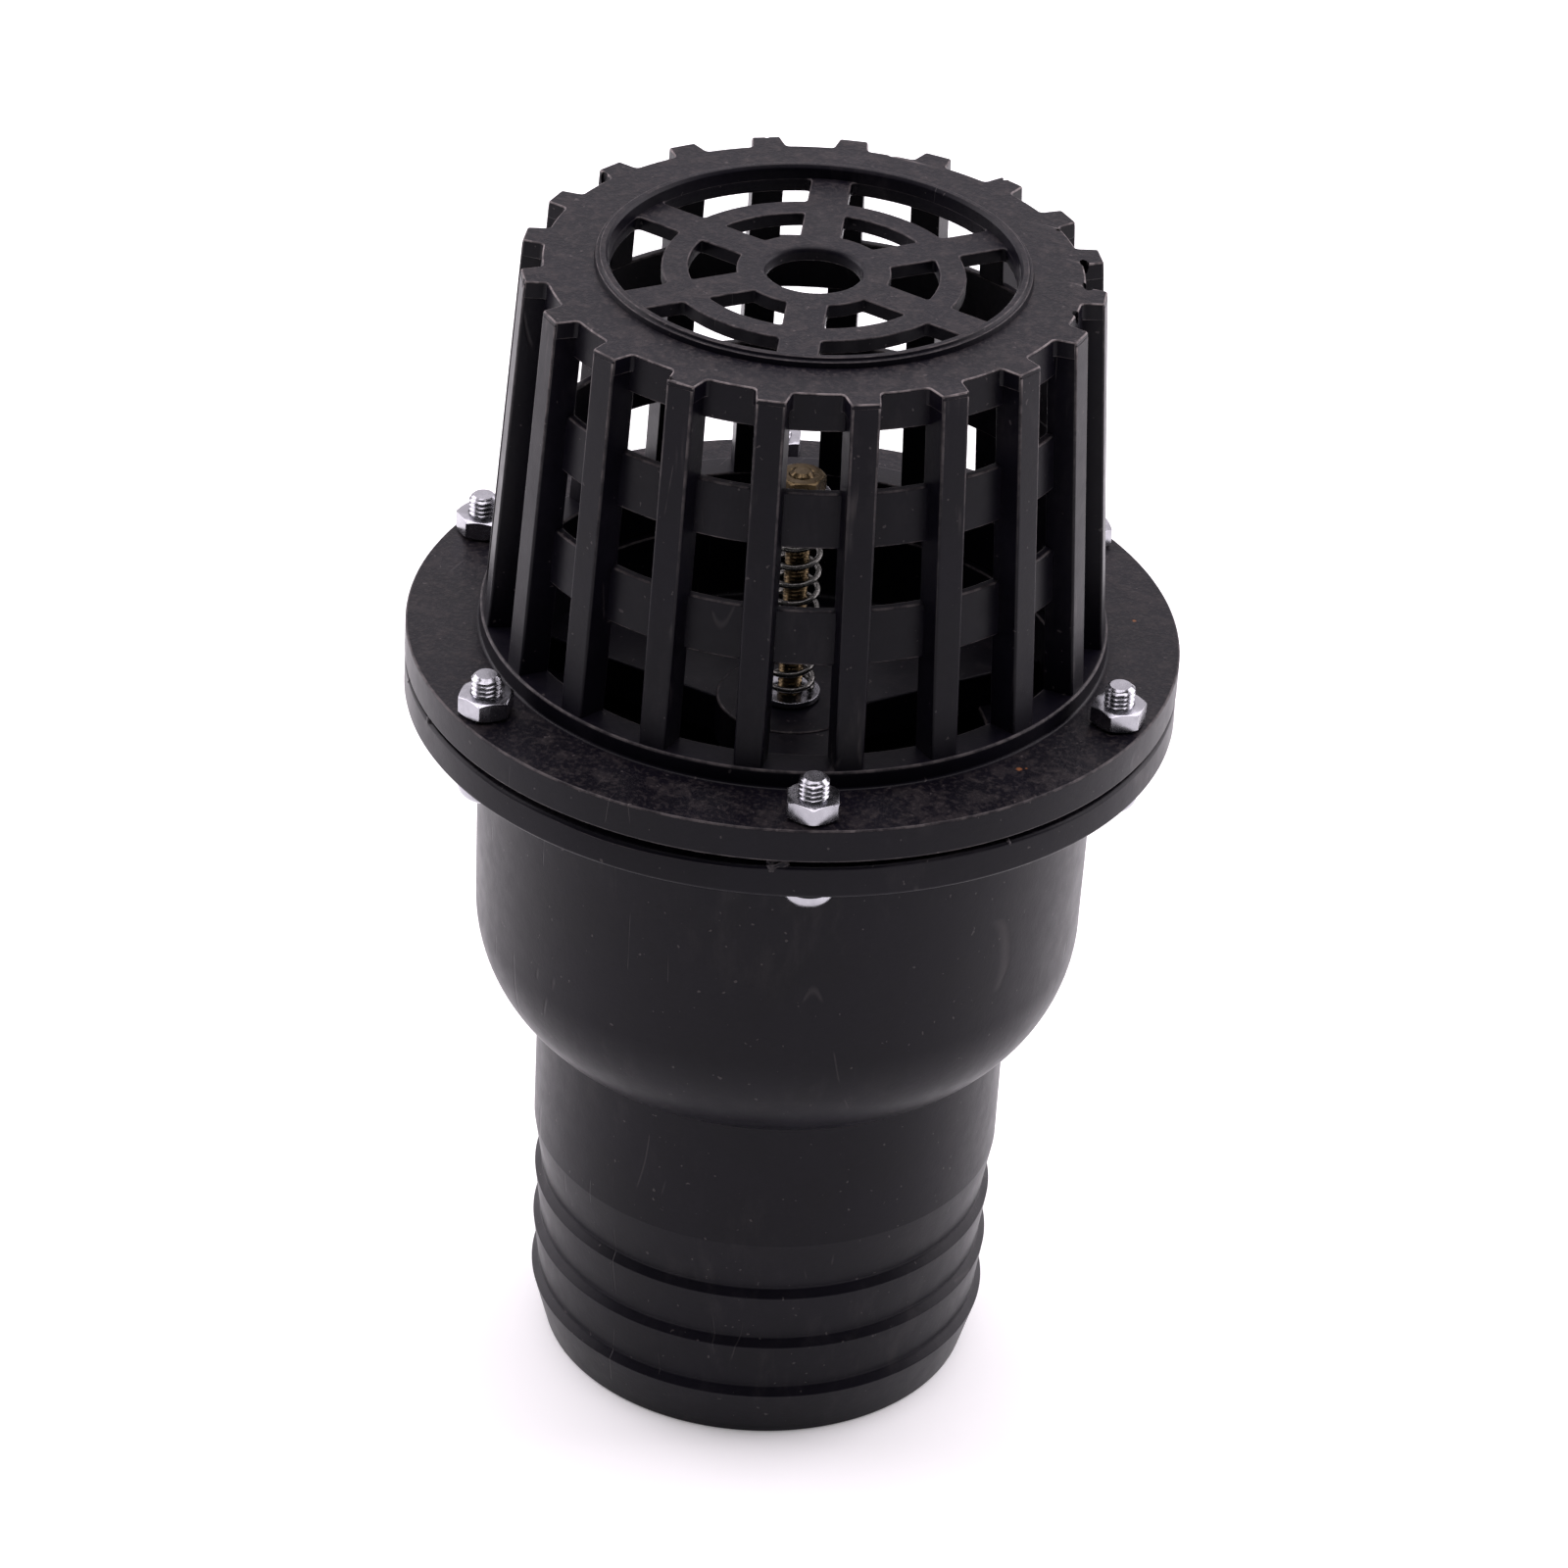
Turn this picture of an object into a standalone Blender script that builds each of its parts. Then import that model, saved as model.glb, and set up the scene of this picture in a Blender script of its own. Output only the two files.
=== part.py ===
"""Foot valve with strainer for a 3 inch suction hose, standing on its hose end.

The housing and the strainer basket are bolted together at two round flanges. A seat insert is
clamped between them. A spring holds the valve disc up against the insert's seating rim, and
suction in the hose pulls the disc down, off the rim. Origin: middle of the hose end, +Z up.
"""
import math

import bmesh
import bpy
from mathutils import Matrix

MM = 0.001

# Clearances
TOUCH_GAP = 0.3 * MM           # between pieces that rest on each other
SLIDE_GAP = 0.35 * MM          # round the stem in its guide hub
THREAD_GAP = 0.3 * MM          # between a screw and its nut or hole wall, all round
POCKET_GAP = 0.4 * MM          # round the seat insert's rim in its pocket
CHAMBER_GAP = 1.1 * MM         # between the seat insert's skirt and the chamber wall
SPRING_GAP = 1.1 * MM          # between the stem and the inside of the spring
OVERLAP = 1.0 * MM             # how far joined or cutting shapes reach into each other

# Flanges and their bolts
FLANGE_RADIUS = 63.0 * MM
FLANGE_THICKNESS = 5.9 * MM
FLANGE_GAP = 0.6 * MM          # open line left between the two clamped flanges
FLANGE_FILLET = 0.8 * MM
LOWER_FLANGE_BOTTOM = 124.9 * MM
BOLT_COUNT = 6
BOLT_RADIUS = 2.4 * MM
BOLT_EDGE_MARGIN = 5.0 * MM    # from a bolt's middle to the flange's rim
BOLT_TURN = math.radians(-0.8)     # direction of the first bolt from +X
BOLT_TIP = 6.9 * MM            # bolt tip above the upper flange
BOLT_TIP_CHAMFER = 0.6 * MM
BOLT_HEAD_HEIGHT = 3.5 * MM
BOLT_HEAD_EDGE = 0.6 * MM      # straight part of the head, above its crown
HEAD_TO_BOLT = 1.75            # head radius for each unit of bolt radius
FLATS_TO_BOLT = 10.0 / 3.0     # nut width across flats for each unit of bolt radius
NUT_HEIGHT = 3.3 * MM
NUT_CHAMFER = 0.4 * MM
NUT_TURNS = (8.0, 41.0, 22.0, 50.0, 15.0, 27.0)    # degrees, as the nuts came to rest

# Hose tail and housing
TAIL_BORE_RADIUS = 33.3 * MM
TAIL_END_RADIUS = 36.4 * MM
BARB_DEPTH = 1.2 * MM
BARB_LEDGE = 1.3 * MM
BARB_EDGES = (9.5 * MM, 19.7 * MM, 29.9 * MM)
NECK_START = 41.0 * MM
NECK_RADIUS = 39.4 * MM
NECK_TAPER = 0.1 * MM          # the neck narrows by this much down to the tail
NECK_WALL = 3.2 * MM
BARB_RADIUS = NECK_RADIUS - 0.4 * MM
BORE_STEP = (NECK_START - 5.0 * MM, NECK_START + 4.0 * MM)     # cone between the two bores
CHAMBER_WALL = 3.0 * MM
CHAMBER_DRAFT = 0.5 * MM       # the chamber widens by this much up to its flange
CHAMBER_HEIGHT = 39.6 * MM     # from the bell up to the lower flange
FLANGE_LEDGE = 12.6 * MM       # from the chamber wall out to the flange's rim
BELL_CENTRE_RADIUS = 25.4 * MM

# Strainer basket
COLLAR_STEP = 0.6 * MM         # collar stands out this far over the chamber wall
COLLAR_HEIGHT = 3.2 * MM
COLLAR_FILLET = 0.4 * MM
RIB_COUNT = 20
RIB_WIDTH = 4.7 * MM
RIB_ROOT_WIDTH = 5.6 * MM
RIB_SETBACK = 0.5 * MM         # foot of the ribs, inside the collar's rim
RIB_LEAN = 4.3 * MM            # ribs lean in by this much up to the end plate
RIB_PROUD = 3.5 * MM           # ribs stand this far out from the hoops
RIB_INSET = 0.15 * MM          # inner face of the ribs, inside the shell's wall
SHELL_WALL = 1.5 * MM
BASKET_TOP = 202.6 * MM
HOOP_STARTS = (0.261, 0.581)   # underside of each hoop, as shares of the rib's height
HOOP_HEIGHT = 9.4 * MM
SKIRT_HEIGHT = 6.4 * MM
END_PLATE_THICKNESS = 3.0 * MM
PLATE_MARGIN = 11.6 * MM       # from the ribs' outer faces in to the lip
LIP_WIDTH = 2.3 * MM
LIP_HEIGHT = 1.5 * MM
LIP_CREST = (0.6 * MM, 1.6 * MM)   # flat top of the lip, out from the openings
GRILLE_RECESS = 0.7 * MM
GRILLE_RING = (8.3 * MM, 12.5 * MM)    # outer and inner rim of the ring, in from the openings' rim
GRILLE_HUB_RADIUS = 12.2 * MM
GRILLE_HUB_HOLE = 7.5 * MM
SPOKE_COUNT = 6
SPOKE_WIDTH = 6.5 * MM
SPOKE_ANGLE = math.radians(51.0)

# Seat insert
SEAT_CLAMP_THICKNESS = 2.2 * MM
SEAT_RIM_WIDTH = 6.4 * MM      # rim stands out this far over the skirt
GASKET_THICKNESS = 1.4 * MM
GASKET_SETBACK = 4.8 * MM      # gasket's bore, in from the rim
SEAT_SKIRT_WALL = 2.6 * MM
SEAT_DEPTH = 15.4 * MM         # from the clamped rim down to the underside of the floor
SEAT_FLOOR_THICKNESS = 4.0 * MM
SEAT_FLOOR_WIDTH = 13.8 * MM   # from the skirt's outside in to the bore
SEAT_LAND_WIDTH = 3.0 * MM
SEAT_LAND_HEIGHT = 1.2 * MM
SEAT_LAND_TAPER = 0.6 * MM
ARM_COUNT = 3
ARM_WIDTH = 14.0 * MM
ARM_HEIGHT = 6.9 * MM
ARM_START = 4.0 * MM           # inner end of the arms, inside the hub
ARM_ANGLE = math.radians(55.0)
GUIDE_RADIUS = 12.0 * MM
GUIDE_HEIGHT = 7.4 * MM
GUIDE_RISE = 3.0 * MM          # underside of the hub above the underside of the floor
ARM_RISE = 0.2 * MM            # underside of the arms above that of the hub

# Moving valve
SEAL_MARGIN = 2.0 * MM         # the rubber reaches this far past the seating land
DISC_SETBACK = 0.4 * MM        # disc rim inside the rubber's rim
DISC_THICKNESS = 3.0 * MM
SEAL_THICKNESS = 3.0 * MM
STEM_RADIUS = 2.0 * MM
STEM_END = 1.3 * MM            # stem tip above its end nut
STEM_HEAD_HEIGHT = 2.8 * MM
FLATS_TO_STEM = 3.5            # stem nut and head across flats for each unit of stem radius
WASHER_MARGIN = 6.0 * MM       # large washers stand out this far over the stem
WASHER_THICKNESS = 1.0 * MM
JAM_NUT_HEIGHT = 2.2 * MM
END_NUT_HEIGHT = 3.2 * MM
STEM_NUT_TURNS = (0.3, 0.2)    # radians, as the jam nut and the end nut came to rest
SPRING_WIRE_RADIUS = 0.5 * MM
SPRING_WASHER_MARGIN = 1.4 * MM    # spring washers stand out this far over the coil's middle
SPRING_TURNS = 11.5
SPRING_CLOSED_TURNS = 1.0
SPRING_CLOSED_PITCH = 2.15     # rise of a closed turn for each unit of wire radius
SPRING_LENGTH = 35.0 * MM

# Smoothness of the turned pieces
LARGE_STEPS = 48
SMALL_STEPS = 16
HOLE_STEPS = 12
COIL_STEPS = 12

# Radii that follow from the sizes above
BOLT_CIRCLE_RADIUS = FLANGE_RADIUS - BOLT_EDGE_MARGIN
BOLT_HEAD_RADIUS = HEAD_TO_BOLT * BOLT_RADIUS
NUT_ACROSS_FLATS = FLATS_TO_BOLT * BOLT_RADIUS
CHAMBER_OUTER_RADIUS = FLANGE_RADIUS - FLANGE_LEDGE
CHAMBER_TOP_RADIUS = CHAMBER_OUTER_RADIUS + CHAMBER_DRAFT
BELL_RADIUS = CHAMBER_OUTER_RADIUS - BELL_CENTRE_RADIUS
NECK_BORE_RADIUS = NECK_RADIUS - NECK_WALL
COLLAR_RADIUS = CHAMBER_OUTER_RADIUS + COLLAR_STEP
RIB_FOOT_RADIUS = COLLAR_RADIUS - RIB_SETBACK
RIB_TOP_RADIUS = RIB_FOOT_RADIUS - RIB_LEAN
LIP_RADIUS = RIB_TOP_RADIUS - PLATE_MARGIN
GRILLE_RADIUS = LIP_RADIUS - LIP_WIDTH
SEAT_SKIRT_RADIUS = CHAMBER_TOP_RADIUS - CHAMBER_WALL - CHAMBER_GAP
SEAT_RIM_RADIUS = SEAT_SKIRT_RADIUS + SEAT_RIM_WIDTH
SEAT_POCKET_RADIUS = SEAT_RIM_RADIUS + POCKET_GAP
GASKET_BORE_RADIUS = SEAT_RIM_RADIUS - GASKET_SETBACK
SEAT_BORE_RADIUS = SEAT_SKIRT_RADIUS - SEAT_FLOOR_WIDTH
DISC_RADIUS = SEAT_BORE_RADIUS + SEAT_LAND_WIDTH + SEAL_MARGIN
WASHER_RADIUS = STEM_RADIUS + WASHER_MARGIN
SPRING_RADIUS = STEM_RADIUS + SPRING_GAP + SPRING_WIRE_RADIUS      # to the middle of the wire
SPRING_WASHER_RADIUS = SPRING_RADIUS + SPRING_WASHER_MARGIN
STEM_NUT_ACROSS_FLATS = FLATS_TO_STEM * STEM_RADIUS

# Heights that follow from the sizes above
BELL_TOP = LOWER_FLANGE_BOTTOM - CHAMBER_HEIGHT
LOWER_FLANGE_TOP = LOWER_FLANGE_BOTTOM + FLANGE_THICKNESS
UPPER_FLANGE_BOTTOM = LOWER_FLANGE_TOP + FLANGE_GAP
UPPER_FLANGE_TOP = UPPER_FLANGE_BOTTOM + FLANGE_THICKNESS
COLLAR_TOP = UPPER_FLANGE_TOP + COLLAR_HEIGHT
SKIRT_BOTTOM = BASKET_TOP - SKIRT_HEIGHT
SEAT_CLAMP_TOP = UPPER_FLANGE_BOTTOM - TOUCH_GAP
SEAT_CLAMP_BOTTOM = SEAT_CLAMP_TOP - SEAT_CLAMP_THICKNESS
GASKET_BOTTOM = SEAT_CLAMP_BOTTOM - TOUCH_GAP - GASKET_THICKNESS
SEAT_POCKET_FLOOR = GASKET_BOTTOM - TOUCH_GAP
SEAT_FLOOR_BOTTOM = SEAT_CLAMP_BOTTOM - SEAT_DEPTH
SEAT_FLOOR_TOP = SEAT_FLOOR_BOTTOM + SEAT_FLOOR_THICKNESS
SEAT_LAND_BOTTOM = SEAT_FLOOR_BOTTOM - SEAT_LAND_HEIGHT
GUIDE_BOTTOM = SEAT_FLOOR_BOTTOM + GUIDE_RISE
GUIDE_TOP = GUIDE_BOTTOM + GUIDE_HEIGHT
SEAL_TOP = SEAT_LAND_BOTTOM - TOUCH_GAP
DISC_TOP = SEAL_TOP - SEAL_THICKNESS - TOUCH_GAP
BACKING_TOP = DISC_TOP - DISC_THICKNESS - TOUCH_GAP
STEM_HEAD_TOP = BACKING_TOP - WASHER_THICKNESS - TOUCH_GAP
SEAT_WASHER_BOTTOM = GUIDE_TOP + TOUCH_GAP
SPRING_BOTTOM = SEAT_WASHER_BOTTOM + WASHER_THICKNESS + TOUCH_GAP
CAP_WASHER_BOTTOM = SPRING_BOTTOM + SPRING_LENGTH + TOUCH_GAP
END_NUT_BOTTOM = CAP_WASHER_BOTTOM + WASHER_THICKNESS + TOUCH_GAP
STEM_TOP = END_NUT_BOTTOM + END_NUT_HEIGHT + STEM_END

TWO_PI = 2.0 * math.pi


def clear_scene():
    """Remove whatever the file starts with."""
    for item in list(bpy.data.objects):
        bpy.data.objects.remove(item, do_unlink=True)


def new_collection(name):
    """Make a collection in the scene."""
    collection = bpy.data.collections.new(name)
    bpy.context.scene.collection.children.link(collection)
    return collection


def make_material(name, colour, roughness, metallic):
    """Make a plain Principled material."""
    material = bpy.data.materials.new(name)
    material.use_nodes = True
    shader = material.node_tree.nodes["Principled BSDF"]
    shader.inputs["Base Color"].default_value = (*colour, 1.0)
    shader.inputs["Roughness"].default_value = roughness
    shader.inputs["Metallic"].default_value = metallic
    return material


def finish_mesh(mesh, edge_angle=35.0):
    """Shade round faces smooth and keep the real edges sharp."""
    mesh.shade_smooth()
    mesh.set_sharp_from_angle(angle=math.radians(edge_angle))


def add_object(name, mesh, material, collection, location=(0.0, 0.0, 0.0), turn=0.0):
    """Put a mesh in the scene as a named part."""
    part = bpy.data.objects.new(name, mesh)
    collection.objects.link(part)
    if material is not None and not mesh.materials:
        mesh.materials.append(material)
    part.location = location
    part.rotation_euler = (0.0, 0.0, turn)
    return part


def baked_mesh(part, name):
    """Return the part's evaluated mesh and remove the part."""
    bpy.context.view_layer.update()
    depsgraph = bpy.context.evaluated_depsgraph_get()
    mesh = bpy.data.meshes.new_from_object(part.evaluated_get(depsgraph))
    mesh.name = name
    bpy.data.objects.remove(part, do_unlink=True)
    return mesh


def turned_mesh(name, outline, steps):
    """Turn a closed outline of (radius, height) points about Z.

    The outline runs down the outer side and back up the inner side. A solid piece's outline
    starts and ends on the axis instead and is left open.
    """
    is_solid = outline[0][0] == 0.0
    profile = bmesh.new()
    corners = [profile.verts.new((radius, 0.0, height)) for radius, height in outline]
    for first, second in zip(corners, corners[1:]):
        profile.edges.new((first, second))
    if not is_solid:
        profile.edges.new((corners[-1], corners[0]))
    mesh = bpy.data.meshes.new(name)
    profile.to_mesh(mesh)
    profile.free()
    part = bpy.data.objects.new(name, mesh)
    bpy.context.scene.collection.objects.link(part)
    screw = part.modifiers.new("Turn", "SCREW")
    screw.axis = "Z"
    screw.angle = TWO_PI
    screw.steps = steps
    screw.render_steps = steps
    screw.use_merge_vertices = True
    screw.merge_threshold = 0.00001
    turned = baked_mesh(part, name)
    finish_mesh(turned)
    return turned


def prism_mesh(name, outline, bottom, top):
    """Raise a flat outline of (x, y) points, given anticlockwise, from bottom to top."""
    shape = bmesh.new()
    floor = shape.faces.new([shape.verts.new((x, y, bottom)) for x, y in outline])
    raised = bmesh.ops.extrude_face_region(shape, geom=[floor])
    lifted = [item for item in raised["geom"] if isinstance(item, bmesh.types.BMVert)]
    bmesh.ops.translate(shape, verts=lifted, vec=(0.0, 0.0, top - bottom))
    bmesh.ops.recalc_face_normals(shape, faces=shape.faces)
    mesh = bpy.data.meshes.new(name)
    shape.to_mesh(mesh)
    shape.free()
    return mesh


def combine(part, tools, operation):
    """Join tools to a part or cut them from it, and bake the result."""
    for tool in tools:
        boolean = part.modifiers.new(operation.title(), "BOOLEAN")
        boolean.operation = operation
        boolean.object = tool
        boolean.solver = "EXACT"
    name = part.name
    collection = part.users_collection[0]
    mesh = baked_mesh(part, name)
    for tool in tools:
        bpy.data.objects.remove(tool, do_unlink=True)
    mesh.materials.clear()
    return add_object(name, mesh, None, collection)


def hex_mesh(name, across_flats, height, bore_radius=0.0):
    """A hex nut with chamfered corners, or a hex head when it has no bore."""
    corner_radius = across_flats / math.sqrt(3.0)
    shape = bmesh.new()
    bmesh.ops.create_cone(
        shape, cap_ends=True, segments=6, radius1=corner_radius, radius2=corner_radius, depth=height)
    bmesh.ops.translate(shape, verts=shape.verts, vec=(0.0, 0.0, height / 2.0))
    mesh = bpy.data.meshes.new(name)
    shape.to_mesh(mesh)
    shape.free()
    blank = add_object(name, mesh, None, bpy.context.scene.collection)
    chamfer = NUT_CHAMFER
    limit_outline = [
        (0.0, height + chamfer), (across_flats / 2.0 - chamfer, height + chamfer),
        (corner_radius + chamfer, height - 2.0 * chamfer), (corner_radius + chamfer, -chamfer),
        (0.0, -chamfer)]
    limit = add_object(name + "_limit", turned_mesh(name + "_limit", limit_outline, SMALL_STEPS),
                       None, bpy.context.scene.collection)
    blank = combine(blank, [limit], "INTERSECT")
    if bore_radius > 0.0:
        bore = cylinder(name + "_bore", bore_radius, -OVERLAP, height + OVERLAP)
        blank = combine(blank, [bore], "DIFFERENCE")
    mesh = baked_mesh(blank, name)
    finish_mesh(mesh)
    return mesh


def cylinder(name, radius, bottom, top, place=(0.0, 0.0), segments=SMALL_STEPS):
    """An upright cylinder used to cut a hole or join a boss."""
    shape = bmesh.new()
    bmesh.ops.create_cone(
        shape, cap_ends=True, segments=segments, radius1=radius, radius2=radius, depth=top - bottom,
        matrix=Matrix.Translation((place[0], place[1], (top + bottom) / 2.0)))
    mesh = bpy.data.meshes.new(name)
    shape.to_mesh(mesh)
    shape.free()
    return add_object(name, mesh, None, bpy.context.scene.collection)


def bolt_places():
    """Middle of each bolt, as (x, y, angle)."""
    places = []
    for index in range(BOLT_COUNT):
        angle = BOLT_TURN + TWO_PI * index / BOLT_COUNT
        places.append((BOLT_CIRCLE_RADIUS * math.cos(angle), BOLT_CIRCLE_RADIUS * math.sin(angle), angle))
    return places


def bolt_hole_cutters(bottom, top):
    """Cutters for the six bolt holes of a flange."""
    radius = BOLT_RADIUS + THREAD_GAP
    return [cylinder("bolt_hole", radius, bottom, top, (x, y), HOLE_STEPS) for x, y, _ in bolt_places()]


def arc(centre, radius, start, end, count):
    """Points of an arc in the (radius, height) plane, angles in degrees from +radius."""
    points = []
    for index in range(count + 1):
        angle = math.radians(start + (end - start) * index / count)
        points.append((centre[0] + radius * math.cos(angle), centre[1] + radius * math.sin(angle)))
    return points


def bell_angle(bell_radius, neck_radius):
    """Angle in degrees, below level, at which the bell's arc meets the neck."""
    reach = neck_radius - (CHAMBER_OUTER_RADIUS - BELL_RADIUS)
    return math.degrees(math.acos(reach / bell_radius))


def make_valve_body(collection, material):
    """Hose tail, neck, bell, chamber and lower flange in one moulding."""
    fillet = FLANGE_FILLET
    bell_centre = (CHAMBER_OUTER_RADIUS - BELL_RADIUS, BELL_TOP)
    inner_bell_radius = BELL_RADIUS - CHAMBER_WALL
    outline = [
        (FLANGE_RADIUS - fillet / 2.0, LOWER_FLANGE_TOP), (FLANGE_RADIUS, LOWER_FLANGE_TOP - fillet / 2.0),
        (FLANGE_RADIUS, LOWER_FLANGE_BOTTOM + fillet), (FLANGE_RADIUS - fillet, LOWER_FLANGE_BOTTOM),
        (CHAMBER_TOP_RADIUS + fillet, LOWER_FLANGE_BOTTOM),
        (CHAMBER_TOP_RADIUS, LOWER_FLANGE_BOTTOM - fillet)]
    outline += arc(bell_centre, BELL_RADIUS, 0.0, -bell_angle(BELL_RADIUS, NECK_RADIUS), 5)
    outline.append((NECK_RADIUS - NECK_TAPER, NECK_START))
    for edge in reversed(BARB_EDGES):
        outline += [(BARB_RADIUS - BARB_DEPTH, edge + BARB_LEDGE), (BARB_RADIUS, edge)]
    outline += [
        (TAIL_END_RADIUS, fillet), (TAIL_END_RADIUS - fillet, 0.0),
        (TAIL_BORE_RADIUS, 0.0), (TAIL_BORE_RADIUS, BORE_STEP[0]), (NECK_BORE_RADIUS, BORE_STEP[1])]
    inner_arc = arc(bell_centre, inner_bell_radius, 0.0, -bell_angle(inner_bell_radius, NECK_BORE_RADIUS), 4)
    outline += list(reversed(inner_arc))
    outline += [
        (CHAMBER_TOP_RADIUS - CHAMBER_WALL, SEAT_POCKET_FLOOR), (SEAT_POCKET_RADIUS, SEAT_POCKET_FLOOR),
        (SEAT_POCKET_RADIUS, LOWER_FLANGE_TOP)]
    mesh = turned_mesh("valve_body", outline, LARGE_STEPS)
    body = add_object("valve_body", mesh, None, collection)
    holes = bolt_hole_cutters(LOWER_FLANGE_BOTTOM - OVERLAP, LOWER_FLANGE_TOP + OVERLAP)
    body = combine(body, holes, "DIFFERENCE")
    finish_mesh(body.data)
    body.data.materials.append(material)


def shell_radius(height):
    """Outer radius of the hoops and skirt, which taper with the ribs."""
    share = (height - COLLAR_TOP) / (BASKET_TOP - COLLAR_TOP)
    return RIB_FOOT_RADIUS - RIB_PROUD + (RIB_TOP_RADIUS - RIB_FOOT_RADIUS) * share


def hoop_outline(bottom, top):
    """Section of a tapering hoop."""
    return [
        (shell_radius(top), top), (shell_radius(bottom), bottom),
        (shell_radius(bottom) - SHELL_WALL, bottom), (shell_radius(top) - SHELL_WALL, top)]


def rib_object(index):
    """One upright rib: a tapering bar whose outer face leans in towards the top."""
    foot = COLLAR_TOP - OVERLAP
    shape = bmesh.new()
    bmesh.ops.create_cube(shape, size=1.0)
    for corner in shape.verts:
        height = BASKET_TOP if corner.co.z > 0.0 else foot
        is_outer = corner.co.x > 0.0
        inset = SHELL_WALL - RIB_INSET
        radius = shell_radius(height) + (RIB_PROUD if is_outer else -inset)
        width = RIB_WIDTH if is_outer else RIB_ROOT_WIDTH
        corner.co = (radius, math.copysign(width / 2.0, corner.co.y), height)
    bmesh.ops.rotate(
        shape, verts=shape.verts, cent=(0.0, 0.0, 0.0),
        matrix=Matrix.Rotation(TWO_PI * index / RIB_COUNT, 3, "Z"))
    mesh = bpy.data.meshes.new("rib")
    shape.to_mesh(mesh)
    shape.free()
    return add_object("rib", mesh, None, bpy.context.scene.collection)


def sector_cutter(spoke_index, inner_radius, outer_radius, bottom, top):
    """Cutter for the opening between two neighbouring spokes, with sides parallel to them."""
    first = SPOKE_ANGLE + TWO_PI * spoke_index / SPOKE_COUNT
    second = first + TWO_PI / SPOKE_COUNT
    outline = []
    for radius, count, is_outward in ((outer_radius, 6, True), (inner_radius, 4, False)):
        side = math.asin(SPOKE_WIDTH / 2.0 / radius)
        start, end = first + side, second - side
        for step in range(count + 1):
            share = step / count if is_outward else 1.0 - step / count
            angle = start + (end - start) * share
            outline.append((radius * math.cos(angle), radius * math.sin(angle)))
    mesh = prism_mesh("opening", outline, bottom, top)
    return add_object("opening", mesh, None, bpy.context.scene.collection)


def make_strainer_basket(collection, material):
    """Upper flange, collar, ribs, hoops and the end plate with its grille, in one moulding."""
    small = COLLAR_FILLET
    inside = shell_radius(COLLAR_TOP) - SHELL_WALL
    base_outline = [
        (COLLAR_RADIUS - small, COLLAR_TOP), (COLLAR_RADIUS, COLLAR_TOP - small),
        (COLLAR_RADIUS, UPPER_FLANGE_TOP + small), (COLLAR_RADIUS + small, UPPER_FLANGE_TOP),
        (FLANGE_RADIUS - small, UPPER_FLANGE_TOP), (FLANGE_RADIUS, UPPER_FLANGE_TOP - small),
        (FLANGE_RADIUS, UPPER_FLANGE_BOTTOM + small), (FLANGE_RADIUS - small, UPPER_FLANGE_BOTTOM),
        (inside, UPPER_FLANGE_BOTTOM), (inside, COLLAR_TOP)]
    grille_top = BASKET_TOP - GRILLE_RECESS
    lip_top = BASKET_TOP + LIP_HEIGHT
    cap_outline = [
        (GRILLE_RADIUS, grille_top), (GRILLE_RADIUS + LIP_CREST[0], lip_top),
        (GRILLE_RADIUS + LIP_CREST[1], lip_top), (LIP_RADIUS, BASKET_TOP),
        (shell_radius(BASKET_TOP), BASKET_TOP), (shell_radius(SKIRT_BOTTOM), SKIRT_BOTTOM),
        (shell_radius(SKIRT_BOTTOM) - SHELL_WALL, SKIRT_BOTTOM),
        (shell_radius(SKIRT_BOTTOM) - SHELL_WALL, BASKET_TOP - END_PLATE_THICKNESS),
        (GRILLE_HUB_HOLE, BASKET_TOP - END_PLATE_THICKNESS), (GRILLE_HUB_HOLE, grille_top)]
    scene_collection = bpy.context.scene.collection
    rings = [add_object("cap", turned_mesh("cap", cap_outline, LARGE_STEPS), None, scene_collection)]
    for start in HOOP_STARTS:
        bottom = COLLAR_TOP + start * (BASKET_TOP - COLLAR_TOP)
        mesh = turned_mesh("hoop", hoop_outline(bottom, bottom + HOOP_HEIGHT), LARGE_STEPS)
        rings.append(add_object("hoop", mesh, None, scene_collection))
    ribs = [rib_object(index) for index in range(RIB_COUNT)]
    base_mesh = turned_mesh("strainer_basket", base_outline, LARGE_STEPS)
    basket = add_object("strainer_basket", base_mesh, None, collection)
    basket = combine(basket, ribs + rings, "UNION")
    cut_bottom = BASKET_TOP - END_PLATE_THICKNESS - OVERLAP
    cut_top = lip_top + OVERLAP
    ring_outer, ring_inner = (GRILLE_RADIUS - inward for inward in GRILLE_RING)
    openings = []
    for index in range(SPOKE_COUNT):
        openings.append(sector_cutter(index, ring_outer, GRILLE_RADIUS, cut_bottom, cut_top))
        openings.append(sector_cutter(index, GRILLE_HUB_RADIUS, ring_inner, cut_bottom, cut_top))
    holes = bolt_hole_cutters(UPPER_FLANGE_BOTTOM - OVERLAP, UPPER_FLANGE_TOP + OVERLAP)
    basket = combine(basket, openings + holes, "DIFFERENCE")
    finish_mesh(basket.data)
    basket.data.materials.append(material)


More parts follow.
